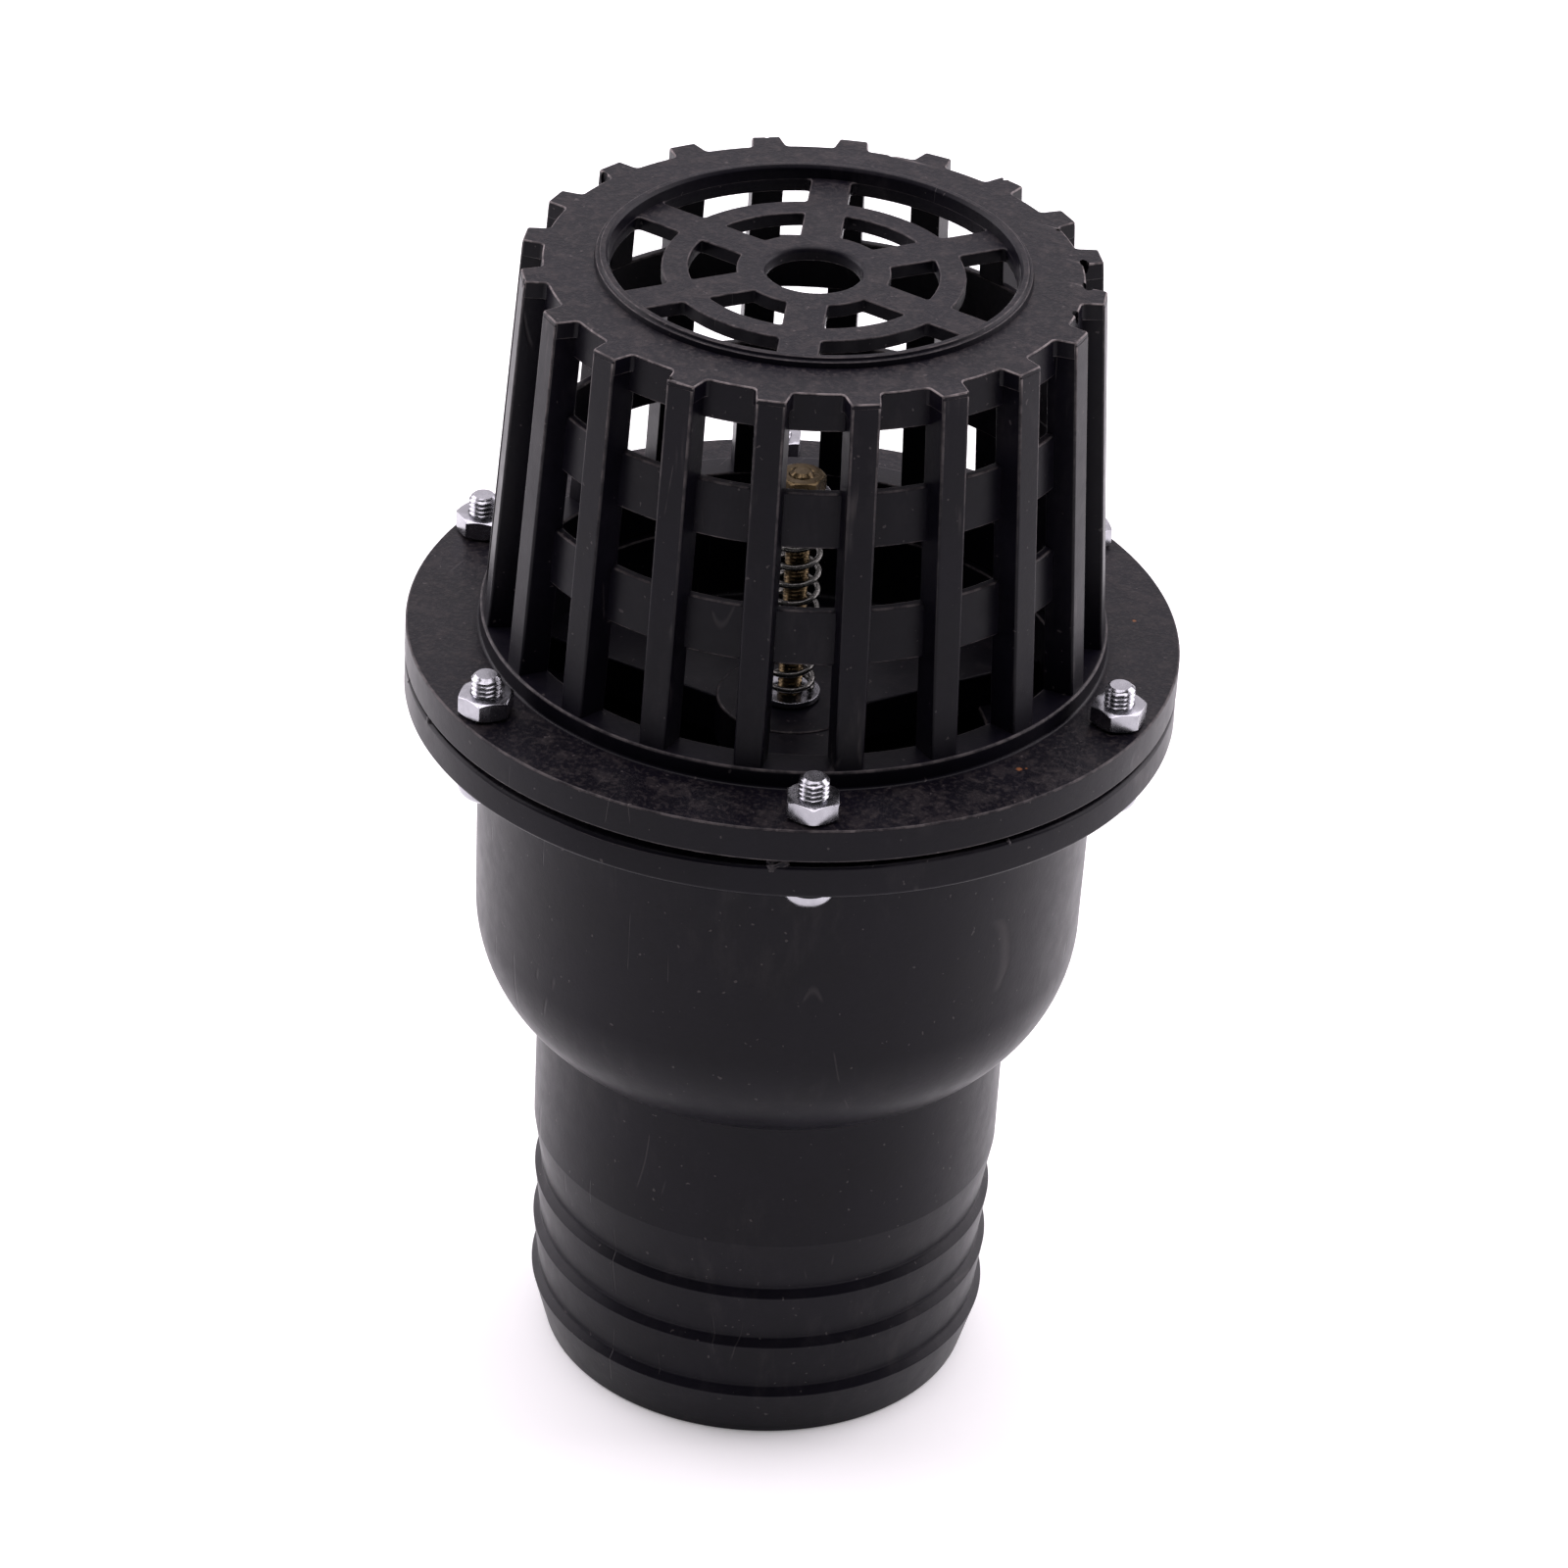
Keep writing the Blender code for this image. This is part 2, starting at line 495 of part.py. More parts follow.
def make_valve_seat(collection, material):
    """Seat insert: clamped rim, skirt, floor with the seating land, arms and guide hub."""
    skirt_inner = SEAT_SKIRT_RADIUS - SEAT_SKIRT_WALL
    outline = [
        (SEAT_RIM_RADIUS, SEAT_CLAMP_TOP), (SEAT_RIM_RADIUS, SEAT_CLAMP_BOTTOM),
        (SEAT_SKIRT_RADIUS, SEAT_CLAMP_BOTTOM), (SEAT_SKIRT_RADIUS, SEAT_FLOOR_BOTTOM),
        (SEAT_BORE_RADIUS + SEAT_LAND_WIDTH, SEAT_FLOOR_BOTTOM),
        (SEAT_BORE_RADIUS + SEAT_LAND_WIDTH - SEAT_LAND_TAPER, SEAT_LAND_BOTTOM),
        (SEAT_BORE_RADIUS, SEAT_LAND_BOTTOM), (SEAT_BORE_RADIUS, SEAT_FLOOR_TOP),
        (skirt_inner, SEAT_FLOOR_TOP), (skirt_inner, SEAT_CLAMP_TOP)]
    seat = add_object("valve_seat", turned_mesh("valve_seat", outline, LARGE_STEPS), None, collection)
    arm_bottom = GUIDE_BOTTOM + ARM_RISE
    arm_reach = math.sqrt((SEAT_SKIRT_RADIUS - SEAT_SKIRT_WALL / 2.0) ** 2 - (ARM_WIDTH / 2.0) ** 2)
    joined = [cylinder("hub", GUIDE_RADIUS, GUIDE_BOTTOM, GUIDE_TOP, segments=LARGE_STEPS // 2)]
    for index in range(ARM_COUNT):
        shape = bmesh.new()
        bmesh.ops.create_cube(shape, size=1.0)
        bmesh.ops.scale(shape, verts=shape.verts, vec=(arm_reach - ARM_START, ARM_WIDTH, ARM_HEIGHT))
        bmesh.ops.translate(
            shape, verts=shape.verts, vec=((arm_reach + ARM_START) / 2.0, 0.0, arm_bottom + ARM_HEIGHT / 2.0))
        bmesh.ops.rotate(
            shape, verts=shape.verts, cent=(0.0, 0.0, 0.0),
            matrix=Matrix.Rotation(ARM_ANGLE + TWO_PI * index / ARM_COUNT, 3, "Z"))
        mesh = bpy.data.meshes.new("arm")
        shape.to_mesh(mesh)
        shape.free()
        joined.append(add_object("arm", mesh, None, bpy.context.scene.collection))
    seat = combine(seat, joined, "UNION")
    bore = cylinder("bore", STEM_RADIUS + SLIDE_GAP, GUIDE_BOTTOM - OVERLAP, GUIDE_TOP + OVERLAP)
    seat = combine(seat, [bore], "DIFFERENCE")
    finish_mesh(seat.data)
    seat.data.materials.append(material)


def ring_outline(inner, outer, bottom, top):
    """Section of a plain washer or ring."""
    return [(outer, top), (outer, bottom), (inner, bottom), (inner, top)]


def make_ring(name, sizes, collection, material, parent=None, steps=SMALL_STEPS):
    """A washer, gasket or disc about the Z axis; its origin sits at its own underside."""
    inner, outer, bottom, top = sizes
    mesh = turned_mesh(name, ring_outline(inner, outer, 0.0, top - bottom), steps)
    ring = add_object(name, mesh, material, collection, (0.0, 0.0, bottom))
    ring.parent = parent
    return ring


def make_bolts(collection, zinc):
    """Six screws with round heads under the lower flange, and their hex nuts on top."""
    head_bottom = LOWER_FLANGE_BOTTOM - TOUCH_GAP - BOLT_HEAD_HEIGHT
    tip = UPPER_FLANGE_TOP + BOLT_TIP - head_bottom
    crown_height = BOLT_HEAD_HEIGHT - BOLT_HEAD_EDGE
    crown = [(BOLT_HEAD_RADIUS * x, crown_height * (1.0 + z)) for x, z in arc((0.0, 0.0), 1.0, 0.0, -90.0, 3)]
    outline = [
        (0.0, tip), (BOLT_RADIUS - BOLT_TIP_CHAMFER, tip), (BOLT_RADIUS, tip - BOLT_TIP_CHAMFER),
        (BOLT_RADIUS, BOLT_HEAD_HEIGHT), (BOLT_HEAD_RADIUS, BOLT_HEAD_HEIGHT)]
    outline += crown[:-1]
    outline.append((0.0, 0.0))
    bolt_mesh = turned_mesh("flange_bolt", outline, SMALL_STEPS)
    nut_mesh = hex_mesh("flange_nut", NUT_ACROSS_FLATS, NUT_HEIGHT, BOLT_RADIUS + THREAD_GAP)
    for index, (x, y, angle) in enumerate(bolt_places()):
        number = index + 1
        add_object(f"flange_bolt_{number}", bolt_mesh, zinc, collection, (x, y, head_bottom), angle)
        turn = angle + math.radians(NUT_TURNS[index])
        nut_bottom = UPPER_FLANGE_TOP + TOUCH_GAP
        add_object(f"flange_nut_{number}", nut_mesh, zinc, collection, (x, y, nut_bottom), turn)


def make_spring(collection, material):
    """Closing spring, wound round the stem between its two washers."""
    curve = bpy.data.curves.new("closing_spring", "CURVE")
    curve.dimensions = "3D"
    curve.bevel_depth = SPRING_WIRE_RADIUS
    curve.bevel_resolution = 2
    curve.use_fill_caps = True
    count = int(SPRING_TURNS * COIL_STEPS)
    coil = curve.splines.new("POLY")
    coil.points.add(count)
    rise = SPRING_LENGTH - 2.0 * SPRING_WIRE_RADIUS
    closed_turns = SPRING_CLOSED_TURNS
    closed_rise = SPRING_CLOSED_PITCH * SPRING_WIRE_RADIUS
    open_turns = SPRING_TURNS - 2.0 * closed_turns
    pitch = (rise - 2.0 * closed_rise) / open_turns
    for index in range(count + 1):
        turns = SPRING_TURNS * index / count
        from_foot = min(turns, closed_turns) / closed_turns * closed_rise
        in_middle = min(max(turns - closed_turns, 0.0), open_turns) * pitch
        at_top = max(turns - closed_turns - open_turns, 0.0) / closed_turns * closed_rise
        height = SPRING_WIRE_RADIUS + from_foot + in_middle + at_top
        angle = TWO_PI * turns
        across, along = SPRING_RADIUS * math.cos(angle), SPRING_RADIUS * math.sin(angle)
        coil.points[index].co = (across, along, height, 1.0)
    wire = bpy.data.objects.new("closing_spring", curve)
    bpy.context.scene.collection.objects.link(wire)
    mesh = baked_mesh(wire, "closing_spring")
    bpy.data.curves.remove(curve)
    welded = bmesh.new()
    welded.from_mesh(mesh)
    bmesh.ops.remove_doubles(welded, verts=welded.verts, dist=0.000001)
    welded.to_mesh(mesh)
    welded.free()
    mesh.materials.clear()
    finish_mesh(mesh, 60.0)
    add_object("closing_spring", mesh, material, collection, (0.0, 0.0, SPRING_BOTTOM))


def make_moving_valve(collection, zinc, yellow_zinc, plastic, rubber):
    """Stem, disc and everything clamped to them; they slide together along Z."""
    slide = bpy.data.objects.new("valve_slide", None)
    collection.objects.link(slide)
    slide.location = (0.0, 0.0, DISC_TOP)
    bore = STEM_RADIUS + THREAD_GAP
    seal = (bore, DISC_RADIUS, SEAL_TOP - SEAL_THICKNESS, SEAL_TOP)
    disc = (bore, DISC_RADIUS - DISC_SETBACK, DISC_TOP - DISC_THICKNESS, DISC_TOP)
    backing = (bore, WASHER_RADIUS, BACKING_TOP - WASHER_THICKNESS, BACKING_TOP)
    clamp_bottom = SEAL_TOP + TOUCH_GAP
    clamp = (bore, WASHER_RADIUS, clamp_bottom, clamp_bottom + WASHER_THICKNESS)
    cap = (bore, SPRING_WASHER_RADIUS, CAP_WASHER_BOTTOM, CAP_WASHER_BOTTOM + WASHER_THICKNESS)
    rings = [
        make_ring("disc_seal", seal, collection, rubber, None, LARGE_STEPS),
        make_ring("valve_disc", disc, collection, plastic, None, LARGE_STEPS),
        make_ring("disc_backing_washer", backing, collection, zinc),
        make_ring("seal_clamp_washer", clamp, collection, zinc),
        make_ring("spring_cap_washer", cap, collection, zinc)]
    head_mesh = hex_mesh("valve_stem", STEM_NUT_ACROSS_FLATS, STEM_HEAD_HEIGHT)
    head_bottom = STEM_HEAD_TOP - STEM_HEAD_HEIGHT
    stem = add_object("valve_stem", head_mesh, None, collection)
    rod = cylinder("rod", STEM_RADIUS, STEM_HEAD_HEIGHT / 2.0, STEM_TOP - head_bottom)
    stem = combine(stem, [rod], "UNION")
    finish_mesh(stem.data)
    stem.data.materials.append(yellow_zinc)
    stem.location = (0.0, 0.0, head_bottom)
    jam_bottom = clamp[3] + TOUCH_GAP
    jam_mesh = hex_mesh("stem_jam_nut", STEM_NUT_ACROSS_FLATS, JAM_NUT_HEIGHT, bore)
    jam = add_object("stem_jam_nut", jam_mesh, zinc, collection, (0.0, 0.0, jam_bottom), STEM_NUT_TURNS[0])
    end_mesh = hex_mesh("stem_end_nut", STEM_NUT_ACROSS_FLATS, END_NUT_HEIGHT, bore)
    end_place = (0.0, 0.0, END_NUT_BOTTOM)
    end = add_object("stem_end_nut", end_mesh, yellow_zinc, collection, end_place, STEM_NUT_TURNS[1])
    for part in rings + [stem, jam, end]:
        part.parent = slide
        part.location.z -= DISC_TOP


def main():
    clear_scene()
    parts = new_collection("foot_valve")
    plastic = make_material("black_plastic", (0.030, 0.028, 0.030), 0.45, 0.0)
    zinc = make_material("bright_zinc", (0.62, 0.62, 0.60), 0.30, 1.0)
    yellow_zinc = make_material("yellow_zinc", (0.60, 0.47, 0.22), 0.32, 1.0)
    spring_steel = make_material("spring_steel", (0.55, 0.55, 0.53), 0.30, 1.0)
    rubber = make_material("black_rubber", (0.020, 0.020, 0.021), 0.80, 0.0)
    make_valve_body(parts, plastic)
    make_strainer_basket(parts, plastic)
    make_valve_seat(parts, plastic)
    gasket = (GASKET_BORE_RADIUS, SEAT_RIM_RADIUS, GASKET_BOTTOM, GASKET_BOTTOM + GASKET_THICKNESS)
    make_ring("seat_gasket", gasket, parts, rubber, None, LARGE_STEPS)
    washer_bore = STEM_RADIUS + SLIDE_GAP
    washer = (washer_bore, SPRING_WASHER_RADIUS, SEAT_WASHER_BOTTOM, SEAT_WASHER_BOTTOM + WASHER_THICKNESS)
    make_ring("spring_seat_washer", washer, parts, zinc)
    make_spring(parts, spring_steel)
    make_moving_valve(parts, zinc, yellow_zinc, plastic, rubber)
    make_bolts(parts, zinc)


main()
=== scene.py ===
"""Foot valve: fine surfaces and finishes, built round the packed CAD frame."""

import math

import bmesh
import bpy
from bpy.props import FloatProperty, FloatVectorProperty, IntProperty, PointerProperty
from mathutils import Matrix, Vector


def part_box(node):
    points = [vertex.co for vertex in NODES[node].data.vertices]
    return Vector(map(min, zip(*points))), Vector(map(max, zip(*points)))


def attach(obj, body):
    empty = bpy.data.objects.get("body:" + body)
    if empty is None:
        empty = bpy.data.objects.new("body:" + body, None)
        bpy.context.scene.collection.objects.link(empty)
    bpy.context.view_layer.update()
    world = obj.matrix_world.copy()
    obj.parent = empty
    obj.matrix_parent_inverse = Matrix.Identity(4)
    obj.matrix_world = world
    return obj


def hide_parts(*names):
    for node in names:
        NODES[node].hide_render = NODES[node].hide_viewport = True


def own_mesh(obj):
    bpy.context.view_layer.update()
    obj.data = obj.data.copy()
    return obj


bl_info = {
    "name": "Foot Valve",
    "version": (1, 0, 0),
    "blender": (4, 5, 0),
    "location": "View3D > Sidebar > Foot Valve",
    "description": "Builds a plastic foot valve with strainer on its CAD frame",
    "category": "Add Mesh",
}

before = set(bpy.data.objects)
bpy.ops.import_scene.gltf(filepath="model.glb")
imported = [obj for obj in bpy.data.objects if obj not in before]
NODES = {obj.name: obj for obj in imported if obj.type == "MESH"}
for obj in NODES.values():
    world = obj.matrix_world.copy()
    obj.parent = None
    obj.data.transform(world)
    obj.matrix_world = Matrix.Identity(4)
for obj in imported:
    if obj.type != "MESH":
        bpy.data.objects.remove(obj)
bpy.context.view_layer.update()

MM = 0.001
TWO_PI = 2.0 * math.pi

BODY_LOW, BODY_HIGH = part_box("valve_body")
BASKET_LOW, BASKET_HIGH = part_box("strainer_basket")
SEAT_LOW, SEAT_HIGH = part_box("valve_seat")
SPRING_LOW, SPRING_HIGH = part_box("closing_spring")
FLANGE_RADIUS = BODY_HIGH.x
BOLT_NAMES = [f"flange_bolt_{number}" for number in range(1, 7)]
NUT_NAMES = [f"flange_nut_{number}" for number in range(1, 7)]
# Corner attribute: pale edges, partly painted highlight, above 0; painted shade in hollows below 0.
WEAR_AND_SHADE = "edge_wear"

# Direction in degrees, half width and half height in mm of each scrap of flash in the joint
FLASH_SCRAPS = (
    (-66.0, 1.9, 1.25), (-131.5, 1.9, 1.0), (-143.0, 1.2, 0.9), (-31.0, 0.9, 0.7),
    (38.0, 1.2, 0.7), (121.0, 1.5, 0.8), (160.0, 0.8, 0.5))
# Distance from the axis in mm, direction in degrees and size in mm of each chip in the end plate
TOOTH_CHIPS = (
    (43.0, 33.0, 1.0), (43.4, 22.5, 1.25), (42.9, 9.5, 0.9), (42.3, 49.1, 0.55), (44.4, -12.7, 0.55),
    (46.3, -33.2, 0.45), (45.3, -92.6, 0.5), (46.6, -110.5, 0.45), (44.4, -131.0, 0.95),
    (46.4, -142.2, 0.6), (45.9, 74.0, 0.6), (43.2, 98.5, 0.9), (46.3, 126.0, 0.5), (44.6, 165.5, 0.7))
# Place and size in mm of each speck of rust, and the height they lie at
RUST_SPECKS = (((50.4, -22.0), 0.55), ((51.3, -21.2), 0.25), ((-27.0, -49.2), 0.3), ((47.5, 30.0), 0.4))
RUST_HEIGHT = 137.3 * MM
# How far each flange nut is turned, in degrees
NUT_TURNS = (8.0, 41.0, 22.0, 50.0, 15.0, 27.0)


def length(name, description, default):
    """A size in metres."""
    return FloatProperty(
        name=name, description=description, default=default, min=0.0, subtype="DISTANCE", unit="LENGTH",
        precision=5)


def colour(name, description, default):
    """A linear colour."""
    return FloatVectorProperty(
        name=name, description=description, default=default, size=3, min=0.0, max=1.0, subtype="COLOR")


def share(name, description, default):
    """A number from 0 to 1."""
    return FloatProperty(
        name=name, description=description, default=default, min=0.0, max=1.0, subtype="FACTOR")


class HousingSizes(bpy.types.PropertyGroup):
    """Sizes of the hose tail, neck, bell, chamber and lower flange."""
    tail_bore: length("Tail bore radius", "Inside of the hose tail", 33.3 * MM)
    tail_end: length("Tail end radius", "Outside of the hose tail at its end", 36.4 * MM)
    barb: length("Barb radius", "Over the sharp edge of each barb", 39.0 * MM)
    barb_depth: length("Barb depth", "From a barb's edge in to the valley above it", 1.2 * MM)
    barb_ledge: length("Barb ledge", "Height of the sloping ledge above a barb's edge", 1.3 * MM)
    first_barb: length("First barb", "Height of the lowest barb's edge", 9.5 * MM)
    barb_pitch: length("Barb pitch", "Distance from one barb to the next", 10.2 * MM)
    barb_count: IntProperty(name="Barbs", description="Number of barbs", default=3, min=1)
    neck_start: length("Neck start", "Height at which the last ramp meets the neck", 41.0 * MM)
    neck: length("Neck radius", "Outside of the neck", 39.5 * MM)
    neck_bore: length("Neck bore radius", "Inside of the neck", 36.2 * MM)
    bell: length("Bell radius", "Radius of the bell's curve", 25.0 * MM)
    bell_top: length("Bell top", "Height at which the bell meets the chamber", 85.3 * MM)
    chamber: length("Chamber radius", "Outside of the chamber at the bell", 50.4 * MM)
    chamber_draft: length("Chamber draft", "How much the chamber widens up to its flange", 0.5 * MM)
    wall: length("Wall", "Wall of the chamber", 3.0 * MM)
    flange_thickness: length("Flange thickness", "Thickness of the lower flange", 5.9 * MM)
    pocket: length("Seat pocket radius", "Recess for the seat insert's rim", 53.6 * MM)
    pocket_depth: length("Seat pocket depth", "Depth of that recess", 3.9 * MM)


class BasketSizes(bpy.types.PropertyGroup):
    """Sizes of the strainer basket."""
    flange_thickness: length("Flange thickness", "Thickness of the upper flange", 5.9 * MM)
    collar: length("Collar radius", "Low collar that the ribs stand on", 51.0 * MM)
    collar_height: length("Collar height", "Height of the collar above the flange", 3.2 * MM)
    rib_count: IntProperty(name="Ribs", description="Number of upright ribs", default=20, min=3)
    rib_width: length("Rib width", "Width of a rib's outer face", 4.6 * MM)
    rib_root: length("Rib root width", "Width of a rib where it joins the hoops", 5.2 * MM)
    rib_foot: length("Rib foot radius", "Outer face of the ribs at the collar", 50.5 * MM)
    rib_top: length("Rib top radius", "Outer face of the ribs at the end plate", 46.2 * MM)
    rib_proud: length("Rib stands proud", "How far the ribs stand out from the hoops", 3.5 * MM)
    shell: length("Shell", "Wall of the hoops and skirt", 1.5 * MM)
    hoop_height: length("Hoop height", "Height of each hoop", 9.4 * MM)
    lower_hoop: length("Lower hoop", "Underside of the lower hoop", 156.7 * MM)
    upper_hoop: length("Upper hoop", "Underside of the upper hoop", 176.6 * MM)
    skirt: length("Skirt height", "Height of the skirt under the end plate", 6.4 * MM)
    plate: length("Plate thickness", "Thickness of the end plate", 3.0 * MM)
    lip: length("Lip radius", "Outside of the raised lip", 34.6 * MM)
    lip_height: length("Lip height", "Height of the lip above the end plate", 1.5 * MM)
    grille: length("Grille radius", "Outer radius of the openings", 32.3 * MM)
    recess: length("Grille recess", "Depth of the grille below the end plate", 0.7 * MM)
    ring_inner: length("Ring inner radius", "Inside of the grille's middle ring", 19.8 * MM)
    ring_outer: length("Ring outer radius", "Outside of the grille's middle ring", 24.0 * MM)
    hub: length("Hub radius", "Outside of the grille's hub", 12.2 * MM)
    hub_hole: length("Hub hole radius", "Hole in the grille's hub", 7.5 * MM)
    spoke: length("Spoke width", "Width of each spoke", 6.5 * MM)
    spoke_count: IntProperty(name="Spokes", description="Number of spokes", default=6, min=2)
    spoke_angle: FloatProperty(
        name="First spoke", description="Direction of the first spoke", default=math.radians(51.0),
        subtype="ANGLE", unit="ROTATION")


class FastenerSizes(bpy.types.PropertyGroup):
    """Sizes of the flange screws, nuts and the stem's fasteners."""
    circle: length("Bolt circle radius", "Radius of the circle the screws stand on", 58.0 * MM)
    screw: length("Screw radius", "Over the thread", 2.42 * MM)
    screw_pitch: length("Screw pitch", "Thread pitch of the flange screws", 0.8 * MM)
    hole: length("Hole radius", "Hole in both flanges", 2.7 * MM)
    head: length("Head radius", "Radius of the round heads", 4.2 * MM)
    nut_flats: length("Nut across flats", "Width of the flange nuts", 8.0 * MM)
    stem: length("Stem radius", "Over the stem's thread", 2.0 * MM)
    stem_pitch: length("Stem pitch", "Thread pitch of the stem", 0.7 * MM)
    stem_nut_flats: length("Stem nut across flats", "Width of the stem's nuts", 7.0 * MM)


class InsideSizes(bpy.types.PropertyGroup):
    """Sizes of the seat insert, disc and spring."""
    skirt: length("Skirt radius", "Outside of the seat insert's skirt", 46.8 * MM)
    skirt_wall: length("Skirt wall", "Wall of the skirt", 2.6 * MM)
    clamp: length("Clamped rim", "Thickness of the rim between the flanges", 2.2 * MM)
    floor_low: length("Floor underside", "Height of the insert's floor, below", 113.5 * MM)
    floor_high: length("Floor top", "Height of the insert's floor, above", 117.5 * MM)
    bore: length("Seat bore radius", "Opening that the disc closes", 33.0 * MM)
    land: length("Land width", "Width of the seating land", 3.0 * MM)
    land_height: length("Land height", "Height of the seating land", 1.2 * MM)
    hub: length("Hub radius", "Guide hub round the stem", 12.0 * MM)
    arm: length("Arm width", "Width of each arm", 14.0 * MM)
    arm_low: length("Arm underside", "Height of the arms' underside", 116.7 * MM)
    arm_height: length("Arm height", "Height of each arm", 6.9 * MM)
    arm_angle: FloatProperty(
        name="First arm", description="Direction of the first arm", default=math.radians(55.0),
        subtype="ANGLE", unit="ROTATION")
    spring: length("Spring radius", "To the middle of the wire", 3.6 * MM)
    wire: length("Wire radius", "Radius of the spring's wire", 0.5 * MM)
    turns: FloatProperty(name="Turns", description="Turns of the spring", default=11.5, min=2.0)


class Finishes(bpy.types.PropertyGroup):
    """Colours of the finishes."""
    plastic: colour("Plastic", "Black moulded plastic", (0.0026, 0.0021, 0.0048))
    # Pale colour of rubbed plastic, also used for the painted highlight along rounded edges.
    scuff_and_edge_highlight: colour("Scuffed plastic", "Where the plastic is rubbed pale", (0.205, 0.180, 0.178))
    dust: colour("Dust", "Fine dust lying on the plastic", (0.0300, 0.0250, 0.0260))
    rust: colour("Rust", "Specks of rust from the screws", (0.230, 0.085, 0.030))
    zinc: colour("Zinc", "Bright zinc plate", (0.40, 0.40, 0.43))
    # Painted shade: the yellow zinc and spring wire colours are darkened far below their plate, for the shade
    # they sit in inside the basket.
    yellow_zinc: colour("Yellow zinc", "Yellow zinc plate", (0.155, 0.112, 0.060))
    wire: colour("Spring wire", "Plated spring wire", (0.20, 0.195, 0.185))
    rubber: colour("Rubber", "Black rubber", (0.010, 0.010, 0.011))
    floor: colour("Floor", "Pale studio floor", (0.90, 0.90, 0.90))


class StageSettings(bpy.types.PropertyGroup):
    """Camera and lights."""
    distance: length("Camera distance", "Level distance from the valve's axis", 0.8552)
    height: length("Camera height", "Height above the floor", 0.6357)
    azimuth: FloatProperty(
        name="Camera direction", description="Where the camera stands, from +X", default=math.radians(-65.4),
        subtype="ANGLE", unit="ROTATION")
    pitch: FloatProperty(
        name="Camera pitch", description="Tilt of the view below level", default=math.radians(31.74),
        subtype="ANGLE", unit="ROTATION")
    roll: FloatProperty(
        name="Camera roll", description="Turn of the camera about its view", default=math.radians(3.34),
        subtype="ANGLE", unit="ROTATION")
    lens: FloatProperty(name="Lens", description="Focal length", default=139.72, unit="CAMERA")
    overhead: FloatProperty(name="Overhead light", description="Power of the overhead softbox", default=41.0,
                            unit="POWER")
    back: FloatProperty(
        name="Back light", description="Power of the softbox behind", default=9.3, unit="POWER")
    side: FloatProperty(
        name="Side lights", description="Power of each side softbox", default=17.0, unit="POWER")
    light: colour("Light", "Colour of the softboxes", (1.0, 0.935, 1.0))
    world: share("Room", "Brightness of the room", 0.10)


# ---------------------------------------------------------------- outlines and meshes

def rounded(corners, segments=4, closed=True):
    """Round the corners of an outline. Each corner is (u, v, fillet radius)."""
    points = []
    for index, (u, v, radius) in enumerate(corners):
        corner = Vector((u, v))
        is_end = not closed and index in (0, len(corners) - 1)
        if radius == 0.0 or is_end:
            points.append((u, v))
            continue
        before = Vector(corners[index - 1][:2]) - corner
        after = Vector(corners[(index + 1) % len(corners)][:2]) - corner
        half = before.angle(after) / 2.0
        reach = min(radius / math.tan(half), 0.49 * before.length, 0.49 * after.length)
        radius = reach * math.tan(half)
        centre = corner + (before.normalized() + after.normalized()).normalized() * radius / math.sin(half)
        start = corner + before.normalized() * reach - centre
        sweep = start.angle_signed(corner + after.normalized() * reach - centre)
        for step in range(segments + 1):
            spoke = Matrix.Rotation(-sweep * step / segments, 2) @ start
            points.append(tuple(centre + spoke))
    return points


def arc(centre, radius, start, end, count):
    """Points of an arc, angles in degrees."""
    points = []
    for index in range(count + 1):
        angle = math.radians(start + (end - start) * index / count)
        points.append((centre[0] + radius * math.cos(angle), centre[1] + radius * math.sin(angle)))
    return points


def placed(name, mesh):
    """Put a mesh in the scene."""
    piece = bpy.data.objects.new(name, mesh)
    bpy.context.scene.collection.objects.link(piece)
    return piece


def as_mesh(shape, name):
    """Finish a bmesh: merged, facing outwards."""
    bmesh.ops.remove_doubles(shape, verts=shape.verts, dist=0.000001)
    bmesh.ops.dissolve_degenerate(shape, edges=shape.edges, dist=0.0000001)
    bmesh.ops.recalc_face_normals(shape, faces=shape.faces)
    mesh = bpy.data.meshes.new(name)
    shape.to_mesh(mesh)
    shape.free()
    return mesh


def turned(name, outline, steps=192, closed=True):
    """Turn an outline of (radius, height) points about Z. An open outline starts and ends on the axis."""
    shape = bmesh.new()
    corners = [shape.verts.new((radius, 0.0, height)) for radius, height in outline]
    edges = [shape.edges.new(pair) for pair in zip(corners, corners[1:])]
    if closed:
        edges.append(shape.edges.new((corners[-1], corners[0])))
    bmesh.ops.spin(
        shape, geom=corners + edges, cent=(0.0, 0.0, 0.0), axis=(0.0, 0.0, 1.0), angle=TWO_PI, steps=steps)
    return placed(name, as_mesh(shape, name))


def plate_from_outlines(name, outlines, bottom, top, edge):
    """A flat plate with rounded edges from closed outlines: the first is its rim, the rest are holes."""
    curve = bpy.data.curves.new(name, "CURVE")
    curve.dimensions = "2D"
    curve.fill_mode = "BOTH"
    curve.extrude = (top - bottom) / 2.0 - edge
    curve.bevel_depth = edge
    curve.bevel_resolution = 3
    curve.offset = -edge
    for outline in outlines:
        spline = curve.splines.new("POLY")
        spline.points.add(len(outline) - 1)
        for point, (x, y) in zip(spline.points, outline):
            point.co = (x, y, 0.0, 1.0)
        spline.use_cyclic_u = True
    mesh = baked(placed(name, curve), name)
    bpy.data.curves.remove(curve)
    shape = bmesh.new()
    shape.from_mesh(mesh)
    bmesh.ops.translate(shape, verts=shape.verts, vec=(0.0, 0.0, (top + bottom) / 2.0))
    bpy.data.meshes.remove(mesh)
    return placed(name, as_mesh(shape, name))


def baked(piece, name):
    """The evaluated mesh of a piece, which is then removed."""
    bpy.context.view_layer.update()
    mesh = bpy.data.meshes.new_from_object(piece.evaluated_get(bpy.context.evaluated_depsgraph_get()))
    mesh.name = name
    bpy.data.objects.remove(piece, do_unlink=True)
    return mesh


